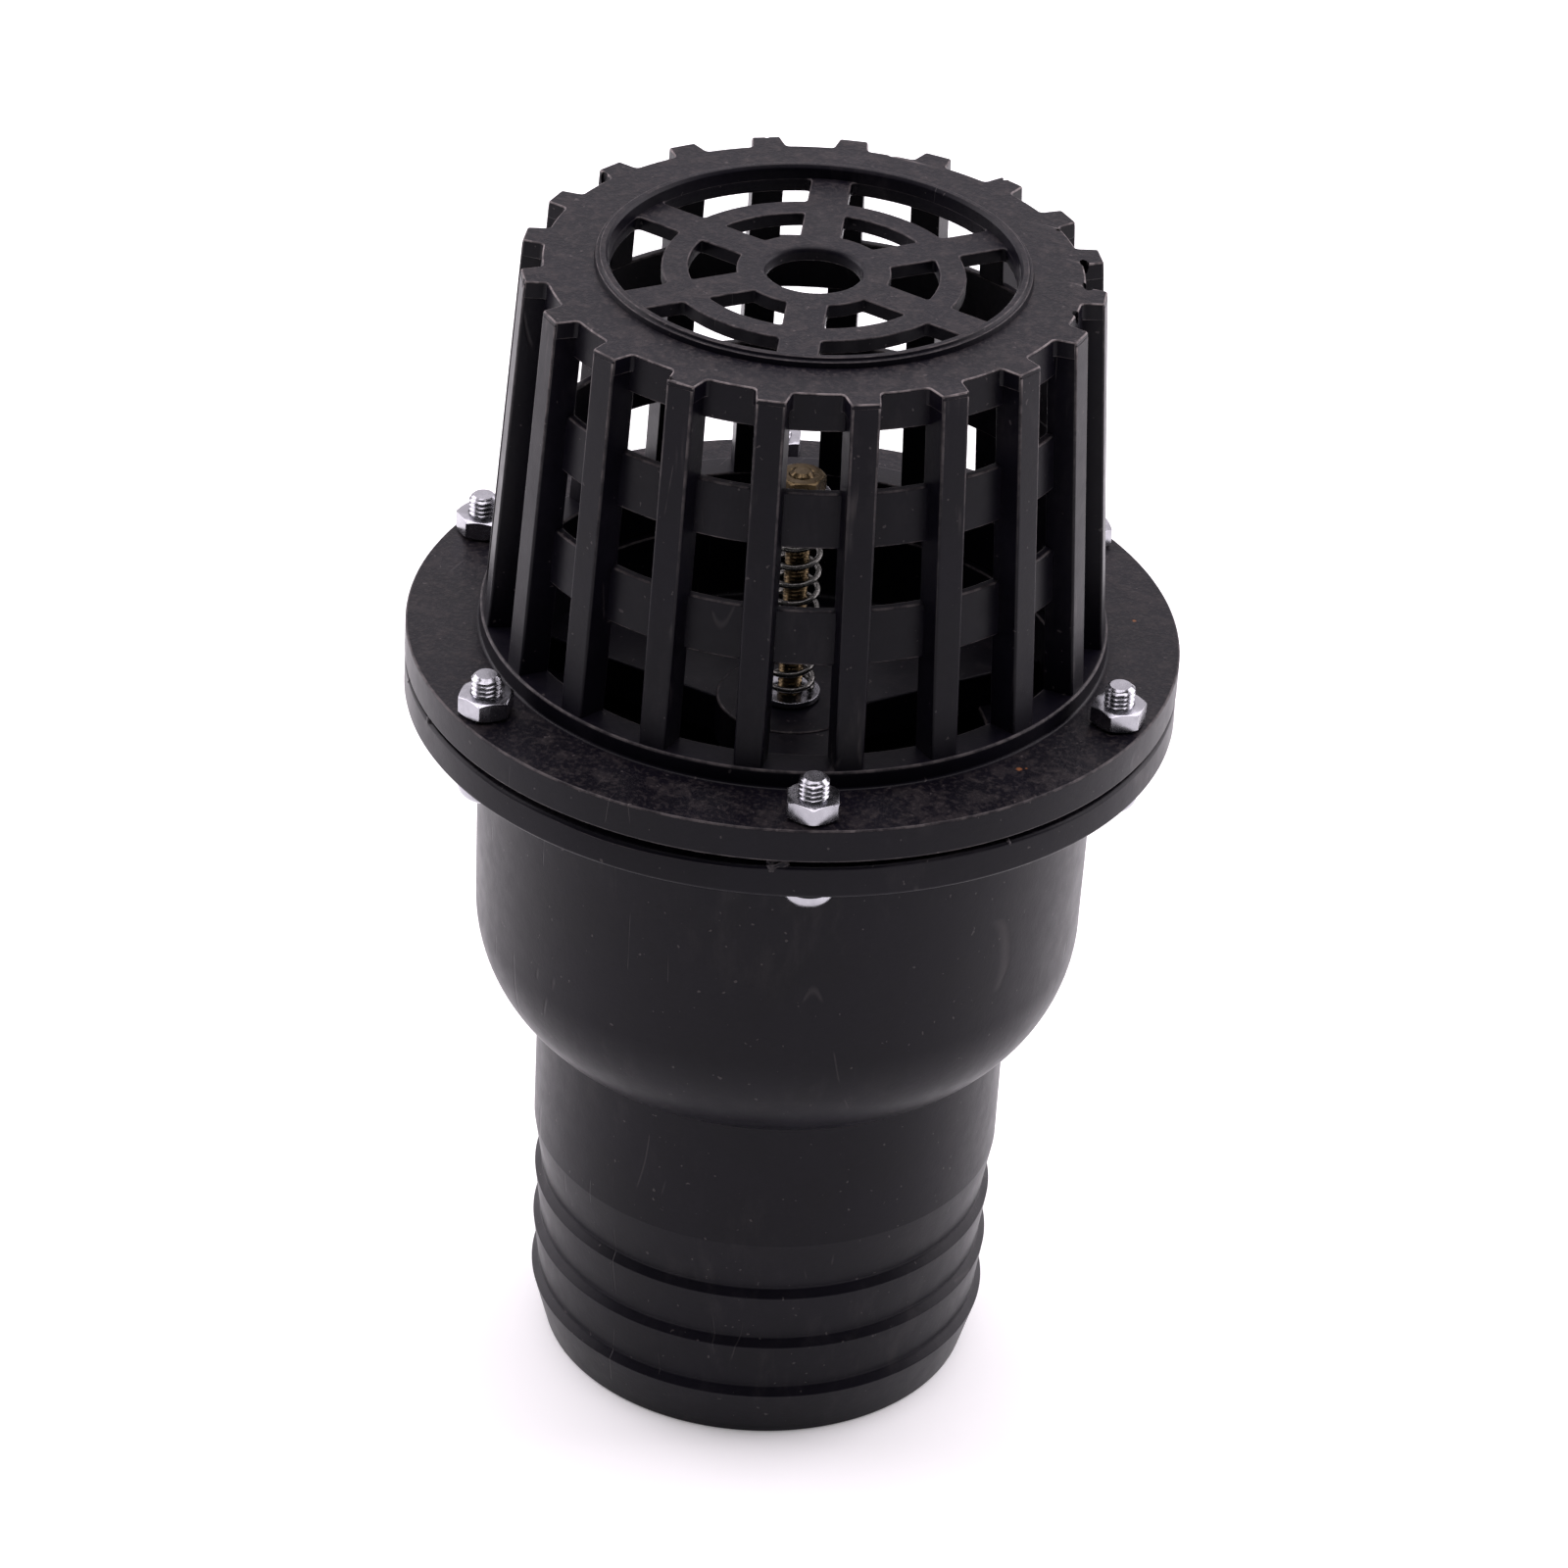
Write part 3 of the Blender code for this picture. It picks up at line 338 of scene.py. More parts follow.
def combined(piece, tools, operation="UNION"):
    """Join tools to a piece, or cut them from it."""
    name = piece.name
    for tool in tools:
        boolean = piece.modifiers.new("Combine", "BOOLEAN")
        boolean.operation = operation
        boolean.object = tool
        boolean.solver = "MANIFOLD"
    mesh = baked(piece, name)
    for tool in tools:
        bpy.data.objects.remove(tool, do_unlink=True)
    mesh.materials.clear()
    return placed(name, mesh)


def mark_edges(mesh):
    """Store how exposed each corner is: 1 on narrow rounded edges, 0 on flats, below 0 in hollows. Values
    above 0 give the plastic its pale edges, partly rubbed and partly painted highlight; values below 0 give
    the metal its painted shade in hollows.
    """
    shape = bmesh.new()
    shape.from_mesh(mesh)
    exposed, hidden = [], []
    for vert in shape.verts:
        angles = [edge.calc_face_angle_signed(0.0) for edge in vert.link_edges if len(edge.link_faces) == 2]
        exposed.append(min(max((math.degrees(max(angles, default=0.0)) - 13.0) / 9.0, 0.0), 1.0))
        hidden.append(min(max((math.degrees(-min(angles, default=0.0)) - 40.0) / 30.0, 0.0), 1.0))
    values = []
    for face in shape.faces:
        width = 2.0 * face.calc_area() / max(edge.calc_length() for edge in face.edges)
        narrow = min(max((0.55 * MM - width) / (0.2 * MM), 0.0), 1.0)
        values += [exposed[loop.vert.index] * narrow - hidden[loop.vert.index] for loop in face.loops]
    shape.free()
    attribute = mesh.attributes.new(WEAR_AND_SHADE, "FLOAT", "CORNER")
    attribute.data.foreach_set("value", values)


def finished(piece, material, body, replaced, edge_angle=34.0):
    """Shade a piece, give it its finish and hang it on its body in place of its CAD nodes."""
    mesh = piece.data
    mesh.materials.clear()
    mesh.materials.append(material)
    mark_edges(mesh)
    mesh.shade_smooth()
    mesh.set_sharp_from_angle(angle=math.radians(edge_angle))
    weighted = piece.modifiers.new("Flat faces stay flat", "WEIGHTED_NORMAL")
    weighted.keep_sharp = True
    name = piece.name
    piece = placed(name, baked(piece, name))
    piece.name = name
    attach(piece, body)
    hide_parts(*replaced)
    return piece


def box_bar(name, low, high, turn, edge):
    """A bar with rounded edges, turned about Z."""
    shape = bmesh.new()
    bmesh.ops.create_cube(shape, size=1.0)
    for corner in shape.verts:
        corner.co = [(low[axis] if corner.co[axis] < 0.0 else high[axis]) for axis in range(3)]
    bmesh.ops.bevel(shape, geom=shape.edges, offset=edge, segments=4, profile=0.5, affect="EDGES")
    bmesh.ops.rotate(shape, verts=shape.verts, cent=(0.0, 0.0, 0.0), matrix=Matrix.Rotation(turn, 3, "Z"))
    return placed(name, as_mesh(shape, name))


def threaded(name, radius, pitch, bottom, top, blend_in):
    """A rod with a real thread, its top end chamfered and its thread fading out over blend_in at the foot."""
    around = 32
    depth = 0.61 * pitch
    per_pitch = 8
    count = int((top - bottom) / pitch * per_pitch)
    shape = bmesh.new()
    rings = []
    for level in range(count + 1):
        height = bottom + (top - bottom) * level / count
        limit = radius - max(0.0, height - (top - 0.6 * MM)) * 1.2
        fade = min(1.0, (height - bottom) / blend_in) if blend_in > 0.0 else 1.0
        ring = []
        for index in range(around):
            turn = index / around
            phase = (height / pitch - turn) % 1.0
            groove = max(0.0, abs(phase - 0.5) * 2.0 - 0.12) / 0.88
            reach = min(radius - depth * groove * fade, limit)
            ring.append(shape.verts.new(
                (reach * math.cos(TWO_PI * turn), reach * math.sin(TWO_PI * turn), height)))
        rings.append(ring)
    for lower, upper in zip(rings, rings[1:]):
        for index in range(around):
            after = (index + 1) % around
            shape.faces.new((lower[index], lower[after], upper[after], upper[index]))
    shape.faces.new(list(reversed(rings[0])))
    shape.faces.new(rings[-1])
    return placed(name, as_mesh(shape, name))


def hex_body(name, flats, bottom, top, bore, faces=6):
    """A hexagon with both faces chamfered, and a countersunk hole when it has a bore."""
    corner = flats / math.sqrt(3.0)
    shape = bmesh.new()
    bmesh.ops.create_cone(
        shape, cap_ends=True, segments=faces, radius1=corner, radius2=corner, depth=top - bottom,
        matrix=Matrix.Translation((0.0, 0.0, (top + bottom) / 2.0)))
    bmesh.ops.bevel(
        shape, geom=[edge for edge in shape.edges if abs(edge.verts[0].co.z - edge.verts[1].co.z) > MM],
        offset=0.18 * MM, segments=2, profile=0.5, affect="EDGES")
    blank = placed(name, as_mesh(shape, name))
    slope = math.tan(math.radians(30.0))
    flat = flats / 2.0 - 0.15 * MM
    drop = (corner + MM - flat) * slope
    chamfer = turned("chamfer", [
        (0.0, top), (flat, top), (corner + MM, top - drop), (corner + MM, bottom + drop), (flat, bottom),
        (0.0, bottom)], 48, closed=False)
    blank = combined(blank, [chamfer], "INTERSECT")
    if bore > 0.0:
        sink = 0.45 * MM
        hole = turned("hole", [
            (0.0, top + MM), (bore + sink + MM, top + MM), (bore, top - sink), (bore, bottom + sink),
            (bore + sink + MM, bottom - MM), (0.0, bottom - MM)], 48, closed=False)
        blank = combined(blank, [hole], "DIFFERENCE")
    return blank


# ---------------------------------------------------------------- node trees

class Value:
    """A number on a socket, so that the maths on it reads as a plain sum in either kind of tree."""

    def __init__(self, tree, socket):
        self.tree = tree
        self.socket = socket

    def math(self, operation, *others):
        node = self.tree.nodes.new("ShaderNodeMath")
        node.operation = operation
        for index, item in enumerate((self, *others)):
            put(self.tree, node.inputs[index], item)
        return Value(self.tree, node.outputs[0])

    def __add__(self, other):
        return self.math("ADD", other)

    def __mul__(self, other):
        return self.math("MULTIPLY", other)

    def __sub__(self, other):
        return self.math("SUBTRACT", other)

    def __rsub__(self, other):
        return (self * -1.0) + other

    def __truediv__(self, other):
        return self.math("DIVIDE", other)

    def __pow__(self, other):
        return self.math("POWER", other)

    __radd__ = __add__
    __rmul__ = __mul__

    def between(self, low, high):
        """0 below low, 1 above high and smooth in between."""
        node = self.tree.nodes.new("ShaderNodeMapRange")
        node.interpolation_type = "SMOOTHSTEP"
        put(self.tree, node.inputs["Value"], self)
        node.inputs["From Min"].default_value = low
        node.inputs["From Max"].default_value = high
        return Value(self.tree, node.outputs["Result"])

    def clamped(self):
        return self.math("MAXIMUM", 0.0).math("MINIMUM", 1.0)


def put(tree, socket, item):
    """Link or set an input."""
    if isinstance(item, Value):
        tree.links.new(item.socket, socket)
    elif isinstance(item, bpy.types.NodeSocket):
        tree.links.new(item, socket)
    else:
        socket.default_value = item


class Tree:
    """A node tree with one short call for any node."""

    def __init__(self, tree):
        self.tree = tree

    def node(self, kind, settings=None, inputs=None):
        """Add a node: its settings first, then the values or links of its sockets."""
        node = self.tree.nodes.new(kind)
        for key, item in (settings or {}).items():
            setattr(node, key, item)
        for key, item in (inputs or {}).items():
            put(self.tree, node.inputs[key], item)
        return node

    def value(self, socket):
        return Value(self.tree, socket)


class Finish(Tree):
    """A Principled material under construction."""

    def __init__(self, name):
        self.material = bpy.data.materials.new(name)
        self.material.use_nodes = True
        super().__init__(self.material.node_tree)
        self.shader = self.tree.nodes["Principled BSDF"]
        self.place = self.node("ShaderNodeTexCoord").outputs["Object"]
        parts = self.node("ShaderNodeSeparateXYZ", inputs={"Vector": self.place})
        self.x, self.y, self.z = (self.value(parts.outputs[axis]) for axis in "XYZ")
        self.radius = (self.x * self.x + self.y * self.y) ** 0.5
        self.edge = self.value(self.node("ShaderNodeAttribute", {"attribute_name": WEAR_AND_SHADE}).outputs["Fac"])

    def noise(self, scale, detail=3.0, roughness=0.55, stretch=(1.0, 1.0, 1.0), turn=(0.0, 0.0, 0.0)):
        """Noise in the valve's own space, about 0.5."""
        vector = self.place
        if stretch != (1.0, 1.0, 1.0) or turn != (0.0, 0.0, 0.0):
            mapping = self.node("ShaderNodeMapping", inputs={
                "Vector": vector, "Scale": stretch, "Rotation": turn})
            vector = mapping.outputs["Vector"]
        noise = self.node("ShaderNodeTexNoise", inputs={
            "Vector": vector, "Scale": scale, "Detail": detail, "Roughness": roughness})
        return self.value(noise.outputs["Fac"])

    def scratches(self, scale, turn, width=0.03):
        """Hairlines where a stretched noise crosses its middle value, broken up by a second noise."""
        lines = self.noise(scale, 0.0, 0.4, (1.0, 0.06, 0.12), turn)
        near = (lines - 0.5).math("ABSOLUTE")
        hair = 1.0 - near.between(0.0, width * 0.2)
        patches = self.noise(scale * 0.8, 2.0, 0.5, turn=(turn[1], turn[2], turn[0])).between(0.60, 0.66)
        return hair * patches

    def mix(self, factor, first, second):
        """Mix two colours."""
        node = self.node("ShaderNodeMix", {"data_type": "RGBA"})
        put(self.tree, node.inputs[0], factor)
        for socket, item in ((node.inputs[6], first), (node.inputs[7], second)):
            if isinstance(item, bpy.types.NodeSocket):
                put(self.tree, socket, item)
            else:
                socket.default_value = (*item, 1.0)
        return node.outputs[2]

    def surface(self, colour_socket, roughness, height, distance, metallic=0.0, specular=0.5):
        """Join everything to the shader."""
        bump = self.node("ShaderNodeBump", inputs={"Strength": 1.0, "Distance": distance, "Height": height})
        put(self.tree, self.shader.inputs["Base Color"], colour_socket)
        put(self.tree, self.shader.inputs["Roughness"], roughness)
        put(self.tree, self.shader.inputs["Normal"], bump.outputs["Normal"])
        self.shader.inputs["Metallic"].default_value = metallic
        self.shader.inputs["Specular IOR Level"].default_value = specular
        return self.material


def plastic_finish(name, colours, scuffing_and_edge_highlight, dusting):
    """Black moulded plastic: faint mottling, fine grain, hairlines, pale edges that are partly rubbed and
    partly painted highlight, and a little dust.
    """
    finish = Finish(name)
    mottle = finish.noise(70.0, 4.0)
    cloud = finish.noise(310.0, 4.0)
    fine = finish.noise(1100.0, 3.0, 0.6)
    grain = finish.noise(3200.0, 2.0)
    hairlines = finish.scratches(95.0, (0.3, 0.2, 0.9)) + finish.scratches(70.0, (1.1, 0.6, 2.3))
    worn = finish.noise(420.0, 4.0, 0.6).between(0.36, 0.66)
    # Pale narrow rounded edges, whiter on the teeth: partly real rubbing and burrs, partly a painted
    # highlight along the rounded edges.
    rubbed_and_edge_highlight = finish.edge.between(0.20, 0.95) * (0.25 + 0.75 * worn) * scuffing_and_edge_highlight
    teeth = finish.z.between(BASKET_HIGH.z - 4.0 * MM, BASKET_HIGH.z - 2.2 * MM)
    teeth = teeth * finish.radius.between(41.6 * MM, 42.4 * MM)
    facing = finish.node("ShaderNodeSeparateXYZ", inputs={
        "Vector": finish.node("ShaderNodeNewGeometry").outputs["Normal"]})
    upward = finish.value(facing.outputs["Z"]).between(0.80, 0.99)
    open_air = (finish.radius.between(50.6 * MM, 52.4 * MM) + finish.z.between(0.180, 0.192)).clamped()
    powder = fine.between(0.50, 0.62) * 0.55 + cloud.between(0.50, 0.62) * 0.45
    dusty = upward * (0.10 + 0.90 * open_air) * (0.04 + 0.96 * powder) * dusting
    smudge = finish.noise(260.0, 4.0, 0.6, (1.0, 1.0, 0.35)).between(0.48, 0.72)
    smudge = smudge * finish.noise(28.0, 2.0).between(0.46, 0.64)
    specks = finish.noise(900.0, 1.0).between(0.745, 0.77) * 0.5
    streak = finish.noise(420.0, 3.0, 0.6, (1.0, 1.0, 0.06)).between(0.58, 0.72)
    lean = (finish.z - BASKET_LOW.z) * 0.069
    proud = (finish.radius + lean).between(49.0 * MM, 50.6 * MM) * finish.z.between(0.141, 0.143)
    streaks = streak * proud * (1.0 - upward) * finish.noise(45.0, 2.0).between(0.50, 0.62) * scuffing_and_edge_highlight * 0.22
    pale = rubbed_and_edge_highlight * (0.34 + teeth * 0.66) + hairlines * 0.08 + specks * 0.35 + streaks
    pale = (pale + smudge * 0.035).clamped()
    base = finish.mix(mottle.between(0.30, 0.72), [c * 0.85 for c in colours.plastic],
                      [c * 1.20 for c in colours.plastic])
    base = finish.mix(dusty.clamped(), base, colours.dust)
    base = finish.mix(pale, base, colours.scuff_and_edge_highlight)
    for spot, size in RUST_SPECKS:
        gap = finish.node("ShaderNodeVectorMath", {"operation": "DISTANCE"}, {
            0: finish.place, 1: (spot[0] * MM, spot[1] * MM, RUST_HEIGHT)})
        blot = 1.0 - (finish.value(gap.outputs["Value"]) + (fine - 0.5) * 0.6 * MM).between(
            size * 0.4 * MM, size * 1.2 * MM)
        base = finish.mix(blot * 0.8, base, colours.rust)
    roughness = (0.37 + (cloud - 0.5) * 0.16 + (mottle - 0.5) * 0.08 + pale * 0.25 + dusty * 0.10).clamped()
    rough_skin = 0.6 + upward * open_air * 1.8
    height = (grain * 0.25 + fine * 0.45 + cloud * 0.6) * rough_skin + (0.0 - 0.6) * hairlines
    return finish.surface(base, roughness, height, 0.06 * MM, specular=0.12)


def metal_finish(name, base_colour, roughness, shade=0.5):
    """Plated metal: soft streaks, dull patches, and painted shade that darkens its corners and thread roots.
    """
    finish = Finish(name)
    cloud = finish.noise(420.0, 3.0)
    streak = finish.noise(900.0, 2.0, 0.5, (1.0, 1.0, 0.08))
    # Painted shade: the colour is darkened in hollows, that is in corners and thread roots.
    painted_hollow_shade = (0.0 - finish.edge).between(0.0, 0.9)
    base = finish.mix(cloud.between(0.35, 0.70), [c * 0.82 for c in base_colour], base_colour)
    base = finish.mix(painted_hollow_shade * shade, base, [c * 0.20 for c in base_colour])
    rough = (roughness + (cloud - 0.5) * 0.22 + (streak - 0.5) * 0.12 + painted_hollow_shade * 0.2).clamped()
    return finish.surface(base, rough, streak * 0.5 + cloud, 0.03 * MM, metallic=1.0)


def rubber_finish(name, base_colour):
    """Matt black rubber with a powdery bloom."""
    finish = Finish(name)
    cloud = finish.noise(180.0, 4.0)
    grain = finish.noise(2600.0, 2.0)
    base = finish.mix(cloud.between(0.40, 0.80) * 0.6, base_colour, [c * 2.4 for c in base_colour])
    return finish.surface(base, 0.72 + (cloud - 0.5) * 0.2, grain + cloud * 0.4, 0.06 * MM, specular=0.3)


def glowing_floor_finish(name, base_colour):
    """Pale, nearly even studio floor that glows faintly, lifting its contact shadow."""
    finish = Finish(name)
    cloud = finish.noise(9.0, 3.0)
    base = finish.mix(cloud, [c * 0.995 for c in base_colour], base_colour)
    # The floor glows though it is no lamp, to lift its contact shadow.
    finish.shader.inputs["Emission Color"].default_value = (1.0, 0.97, 1.0, 1.0)
    finish.shader.inputs["Emission Strength"].default_value = 0.22
    return finish.surface(base, 0.75 + (cloud - 0.5) * 0.1, finish.noise(900.0), 0.02 * MM, specular=0.2)


def material_named(name, maker, *settings):
    """A material made once and shared."""
    return bpy.data.materials.get(name) or maker(name, *settings)


def new_geometry_tree(name, inputs):
    """A Geometry Nodes group with named inputs and one geometry output."""
    group = bpy.data.node_groups.new(name, "GeometryNodeTree")
    group.interface.new_socket("Geometry", in_out="INPUT", socket_type="NodeSocketGeometry")
    for label, kind in inputs:
        group.interface.new_socket(label, in_out="INPUT", socket_type=kind)
    group.interface.new_socket("Geometry", in_out="OUTPUT", socket_type="NodeSocketGeometry")
    tree = Tree(group)
    return tree, tree.node("NodeGroupInput"), tree.node("NodeGroupOutput")


def run_tree(piece, group, settings):
    """Give a piece the tree, set its inputs by identifier and return the plain mesh it makes."""
    modifier = piece.modifiers.new(group.name, "NODES")
    modifier.node_group = group
    for item in group.interface.items_tree:
        if item.item_type == "SOCKET" and item.in_out == "INPUT" and item.name in settings:
            modifier[item.identifier] = settings[item.name]
    name = piece.name
    return placed(name, baked(piece, name))


def end_tree(tree, start, output, geometry):
    """Realize Instances, then Set Material, then the output."""
    realized = tree.node("GeometryNodeRealizeInstances", inputs={"Geometry": geometry})
    coated = tree.node("GeometryNodeSetMaterial", inputs={
        "Geometry": realized.outputs["Geometry"], "Material": start.outputs["Material"]})
    put(tree.tree, output.inputs["Geometry"], coated.outputs["Geometry"])


def copies_tree():
    """Tree that puts a copy of one piece on every point, turned by the point's own angle."""
    name = "Copies on points"
    if name in bpy.data.node_groups:
        return bpy.data.node_groups[name]
    tree, start, output = new_geometry_tree(
        name, [("Piece", "NodeSocketObject"), ("Extra Turn", "NodeSocketFloat"),
               ("Material", "NodeSocketMaterial")])
    info = tree.node("GeometryNodeObjectInfo", inputs={"Object": start.outputs["Piece"]})
    turn = tree.value(tree.node("GeometryNodeInputNamedAttribute", {"data_type": "FLOAT"}, {
        "Name": "turn"}).outputs["Attribute"])
    angle = turn + tree.value(start.outputs["Extra Turn"])
    rotation = tree.node("ShaderNodeCombineXYZ", inputs={"Z": angle})
    points = tree.node("GeometryNodeMeshToPoints", inputs={"Mesh": start.outputs["Geometry"]})
    copies = tree.node("GeometryNodeInstanceOnPoints", inputs={
        "Points": points.outputs["Points"], "Instance": info.outputs["Geometry"],
        "Rotation": rotation.outputs["Vector"]})
    end_tree(tree, start, output, copies.outputs["Instances"])
    return tree.tree


def copies(name, piece, places, material):
    """Copies of a piece at (x, y, z, turn), as one mesh. The piece itself is removed."""
    mesh = bpy.data.meshes.new(name)
    mesh.from_pydata([place[:3] for place in places], [], [])
    attribute = mesh.attributes.new("turn", "FLOAT", "POINT")
    attribute.data.foreach_set("value", [place[3] for place in places])
    made = run_tree(placed(name, mesh), copies_tree(), {
        "Piece": piece, "Extra Turn": 0.0, "Material": material})
    bpy.data.objects.remove(piece, do_unlink=True)
    return made


def coil_tree():
    """Tree that winds a line into a compression spring with closed ends."""
    name = "Compression spring"
    if name in bpy.data.node_groups:
        return bpy.data.node_groups[name]
    tree, start, output = new_geometry_tree(name, [
        ("Coil Radius", "NodeSocketFloat"), ("Wire Radius", "NodeSocketFloat"), ("Turns", "NodeSocketFloat"),
        ("Foot", "NodeSocketFloat"), ("Length", "NodeSocketFloat"), ("Material", "NodeSocketMaterial")])
    value = {socket.name: tree.value(socket) for socket in start.outputs if socket.type == "VALUE"}
    line = tree.node("GeometryNodeCurvePrimitiveLine", inputs={"End": (0.0, 0.0, 1.0)})
    points = tree.node("GeometryNodeResampleCurve", inputs={"Curve": line.outputs["Curve"], "Count": 560})
    along = tree.value(tree.node("GeometryNodeSplineParameter").outputs["Factor"])
    turns = along * value["Turns"]
    open_turns = value["Turns"] - 2.0
    closed_rise = value["Wire Radius"] * 2.15
    rise = value["Length"] - value["Wire Radius"] * 2.0
    pitch = (rise - closed_rise * 2.0) / open_turns
    at_foot = turns.math("MINIMUM", 1.0) * closed_rise
    middle = (turns - 1.0).math("MAXIMUM", 0.0).math("MINIMUM", open_turns) * pitch
    at_top = (turns - 1.0 - open_turns).math("MAXIMUM", 0.0) * closed_rise
    height = value["Foot"] + value["Wire Radius"] + at_foot + middle + at_top
    angle = turns * TWO_PI
    position = tree.node("ShaderNodeCombineXYZ", inputs={
        "X": angle.math("COSINE") * value["Coil Radius"], "Y": angle.math("SINE") * value["Coil Radius"],
        "Z": height})
    moved = tree.node("GeometryNodeSetPosition", inputs={
        "Geometry": points.outputs["Curve"], "Position": position.outputs["Vector"]})
    section = tree.node("GeometryNodeCurvePrimitiveCircle", inputs={
        "Resolution": 12, "Radius": value["Wire Radius"]})
    wire = tree.node("GeometryNodeCurveToMesh", inputs={
        "Curve": moved.outputs["Geometry"], "Profile Curve": section.outputs["Curve"], "Fill Caps": True})
    end_tree(tree, start, output, wire.outputs["Mesh"])
    return tree.tree


# ---------------------------------------------------------------- pieces

def polar(radius, angle):
    """Point at a radius and an angle."""
    return radius * math.cos(angle), radius * math.sin(angle)


def bolt_places(sizes, height, turns):
    """One place on the bolt circle for each screw, from the CAD screws."""
    places = []
    for name, turn in zip(BOLT_NAMES, turns):
        low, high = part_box(name)
        angle = math.atan2((low.y + high.y) / 2.0, (low.x + high.x) / 2.0)
        places.append((*polar(sizes.circle, angle), height, angle + turn))
    return places


def bolt_holes(sizes, bottom, top):
    """Cutters for the holes in a flange."""
    hole = turned(
        "hole", [(0.0, top), (sizes.hole, top), (sizes.hole, bottom), (0.0, bottom)], 24, closed=False)
    return copies("holes", hole, bolt_places(sizes, 0.0, [0.0] * 6), None)


def uneven_rim(mesh, top):
    """Let the flange's upper rim sag a little, so that the joint above it opens unevenly."""
    for vert in mesh.vertices:
        reach = math.hypot(vert.co.x, vert.co.y)
        edge = min(max((reach - FLANGE_RADIUS + 2.4 * MM) / (2.2 * MM), 0.0), 1.0)
        near = min(max((vert.co.z - top + 2.6 * MM) / (2.2 * MM), 0.0), 1.0)
        angle = math.atan2(vert.co.y, vert.co.x)
        wave = 0.5 + 0.25 * math.sin(3.0 * angle + 1.0) + 0.15 * math.sin(7.0 * angle + 2.2)
        wave += 0.10 * math.sin(19.0 * angle + 0.4)
        opening = math.exp(-((math.degrees(angle) + 84.0) / 17.0) ** 2)
        opening += 0.5 * math.exp(-((math.degrees(angle) + 20.0) / 12.0) ** 2)
        sag = edge * near * (0.75 * wave ** 2 + 0.85 * opening) * MM
        vert.co.z -= sag
        vert.co.xy *= 1.0 - 0.35 * sag / reach


def rim_flash(top):
    """Torn scraps of moulding flash left in the joint."""
    scraps = []
    for degrees, wide, high in FLASH_SCRAPS:
        shape = bmesh.new()
        bmesh.ops.create_icosphere(shape, subdivisions=3, radius=1.0)
        for vert in shape.verts:
            x, y, z = vert.co
            bump = 1.0 + 0.22 * math.sin(5.0 * y + degrees) + 0.12 * math.sin(11.0 * z + degrees)
            vert.co = (x * 0.75 * MM * bump, y * wide * MM * bump, z * high * MM * bump)
        bmesh.ops.rotate(shape, verts=shape.verts, cent=(0.0, 0.0, 0.0), matrix=Matrix.Rotation(0.35, 3, "X"))
        bmesh.ops.translate(shape, verts=shape.verts, vec=(FLANGE_RADIUS - 0.85 * MM, 0.0, top - 0.6 * MM))
        bmesh.ops.rotate(shape, verts=shape.verts, cent=(0.0, 0.0, 0.0),
                         matrix=Matrix.Rotation(math.radians(degrees), 3, "Z"))
        scraps.append(placed("scrap", as_mesh(shape, "scrap")))
    return scraps


class FOOTVALVE_OT_housing(bpy.types.Operator):
    """Make the housing: barbed hose tail, neck, bell, chamber and lower flange"""
    bl_idname = "footvalve.housing"
    bl_label = "Housing"

    def execute(self, context):
        sizes = context.scene.footvalve_housing
        top = BODY_HIGH.z
        flange_bottom = top - sizes.flange_thickness
        upper = sizes.chamber + sizes.chamber_draft
        bell = (sizes.chamber - sizes.bell, sizes.bell_top)
        inner = sizes.bell - sizes.wall
        neck_angle = -math.degrees(math.acos((sizes.neck - bell[0]) / sizes.bell))
        bore_angle = -math.degrees(math.acos((sizes.neck_bore - bell[0]) / inner))
        outline = rounded([
            (FLANGE_RADIUS - 2.4 * MM, top, 0.0), (FLANGE_RADIUS - 1.6 * MM, top, 0.0),
            (FLANGE_RADIUS, top, 0.6 * MM), (FLANGE_RADIUS, flange_bottom, 0.7 * MM),
            (upper, flange_bottom, 1.2 * MM), (sizes.chamber, sizes.bell_top + MM, 0.0)], 4, closed=False)
        outline += arc(bell, sizes.bell, 0.0, neck_angle, 24)
        tail = [
            (sizes.neck, sizes.bell_top - 21.0 * MM, 0.0),
            (sizes.neck - 0.1 * MM, sizes.neck_start, 0.9 * MM)]
        for number in reversed(range(sizes.barb_count)):
            edge = sizes.first_barb + number * sizes.barb_pitch
            tail.append((sizes.barb - sizes.barb_depth, edge + sizes.barb_ledge, 0.7 * MM))
            tail.append((sizes.barb, edge, 0.18 * MM))
        tail += [
            (sizes.tail_end, 0.0, 0.8 * MM), (sizes.tail_bore, 0.0, 0.5 * MM),
            (sizes.tail_bore, sizes.neck_start - 5.0 * MM, 1.5 * MM),
            (sizes.neck_bore, sizes.neck_start + 4.0 * MM, 1.5 * MM),
            (sizes.neck_bore, sizes.bell_top - 19.0 * MM, 0.0)]
        outline += rounded(tail, 4, closed=False)[1:-1]
        outline += list(reversed(arc(bell, inner, 0.0, bore_angle, 18)))
        outline += rounded([
            (upper - sizes.wall, sizes.bell_top + MM, 0.0),
            (upper - sizes.wall, top - sizes.pocket_depth, 0.4 * MM),
            (sizes.pocket, top - sizes.pocket_depth, 0.2 * MM), (sizes.pocket, top, 0.3 * MM),
            (FLANGE_RADIUS, top, 0.0)], 4, closed=False)[1:-1]
        housing = turned("housing", outline, 240)
        uneven_rim(housing.data, top)
        housing = combined(housing, rim_flash(top))
        holes = bolt_holes(context.scene.footvalve_fasteners, flange_bottom - MM, top + MM)
        housing = combined(housing, [holes], "DIFFERENCE")
        colours = context.scene.footvalve_finishes
        material = material_named("Black plastic housing", plastic_finish, colours, 0.65, 0.5)
        finished(housing, material, "housing", ["valve_body"])
        return {"FINISHED"}


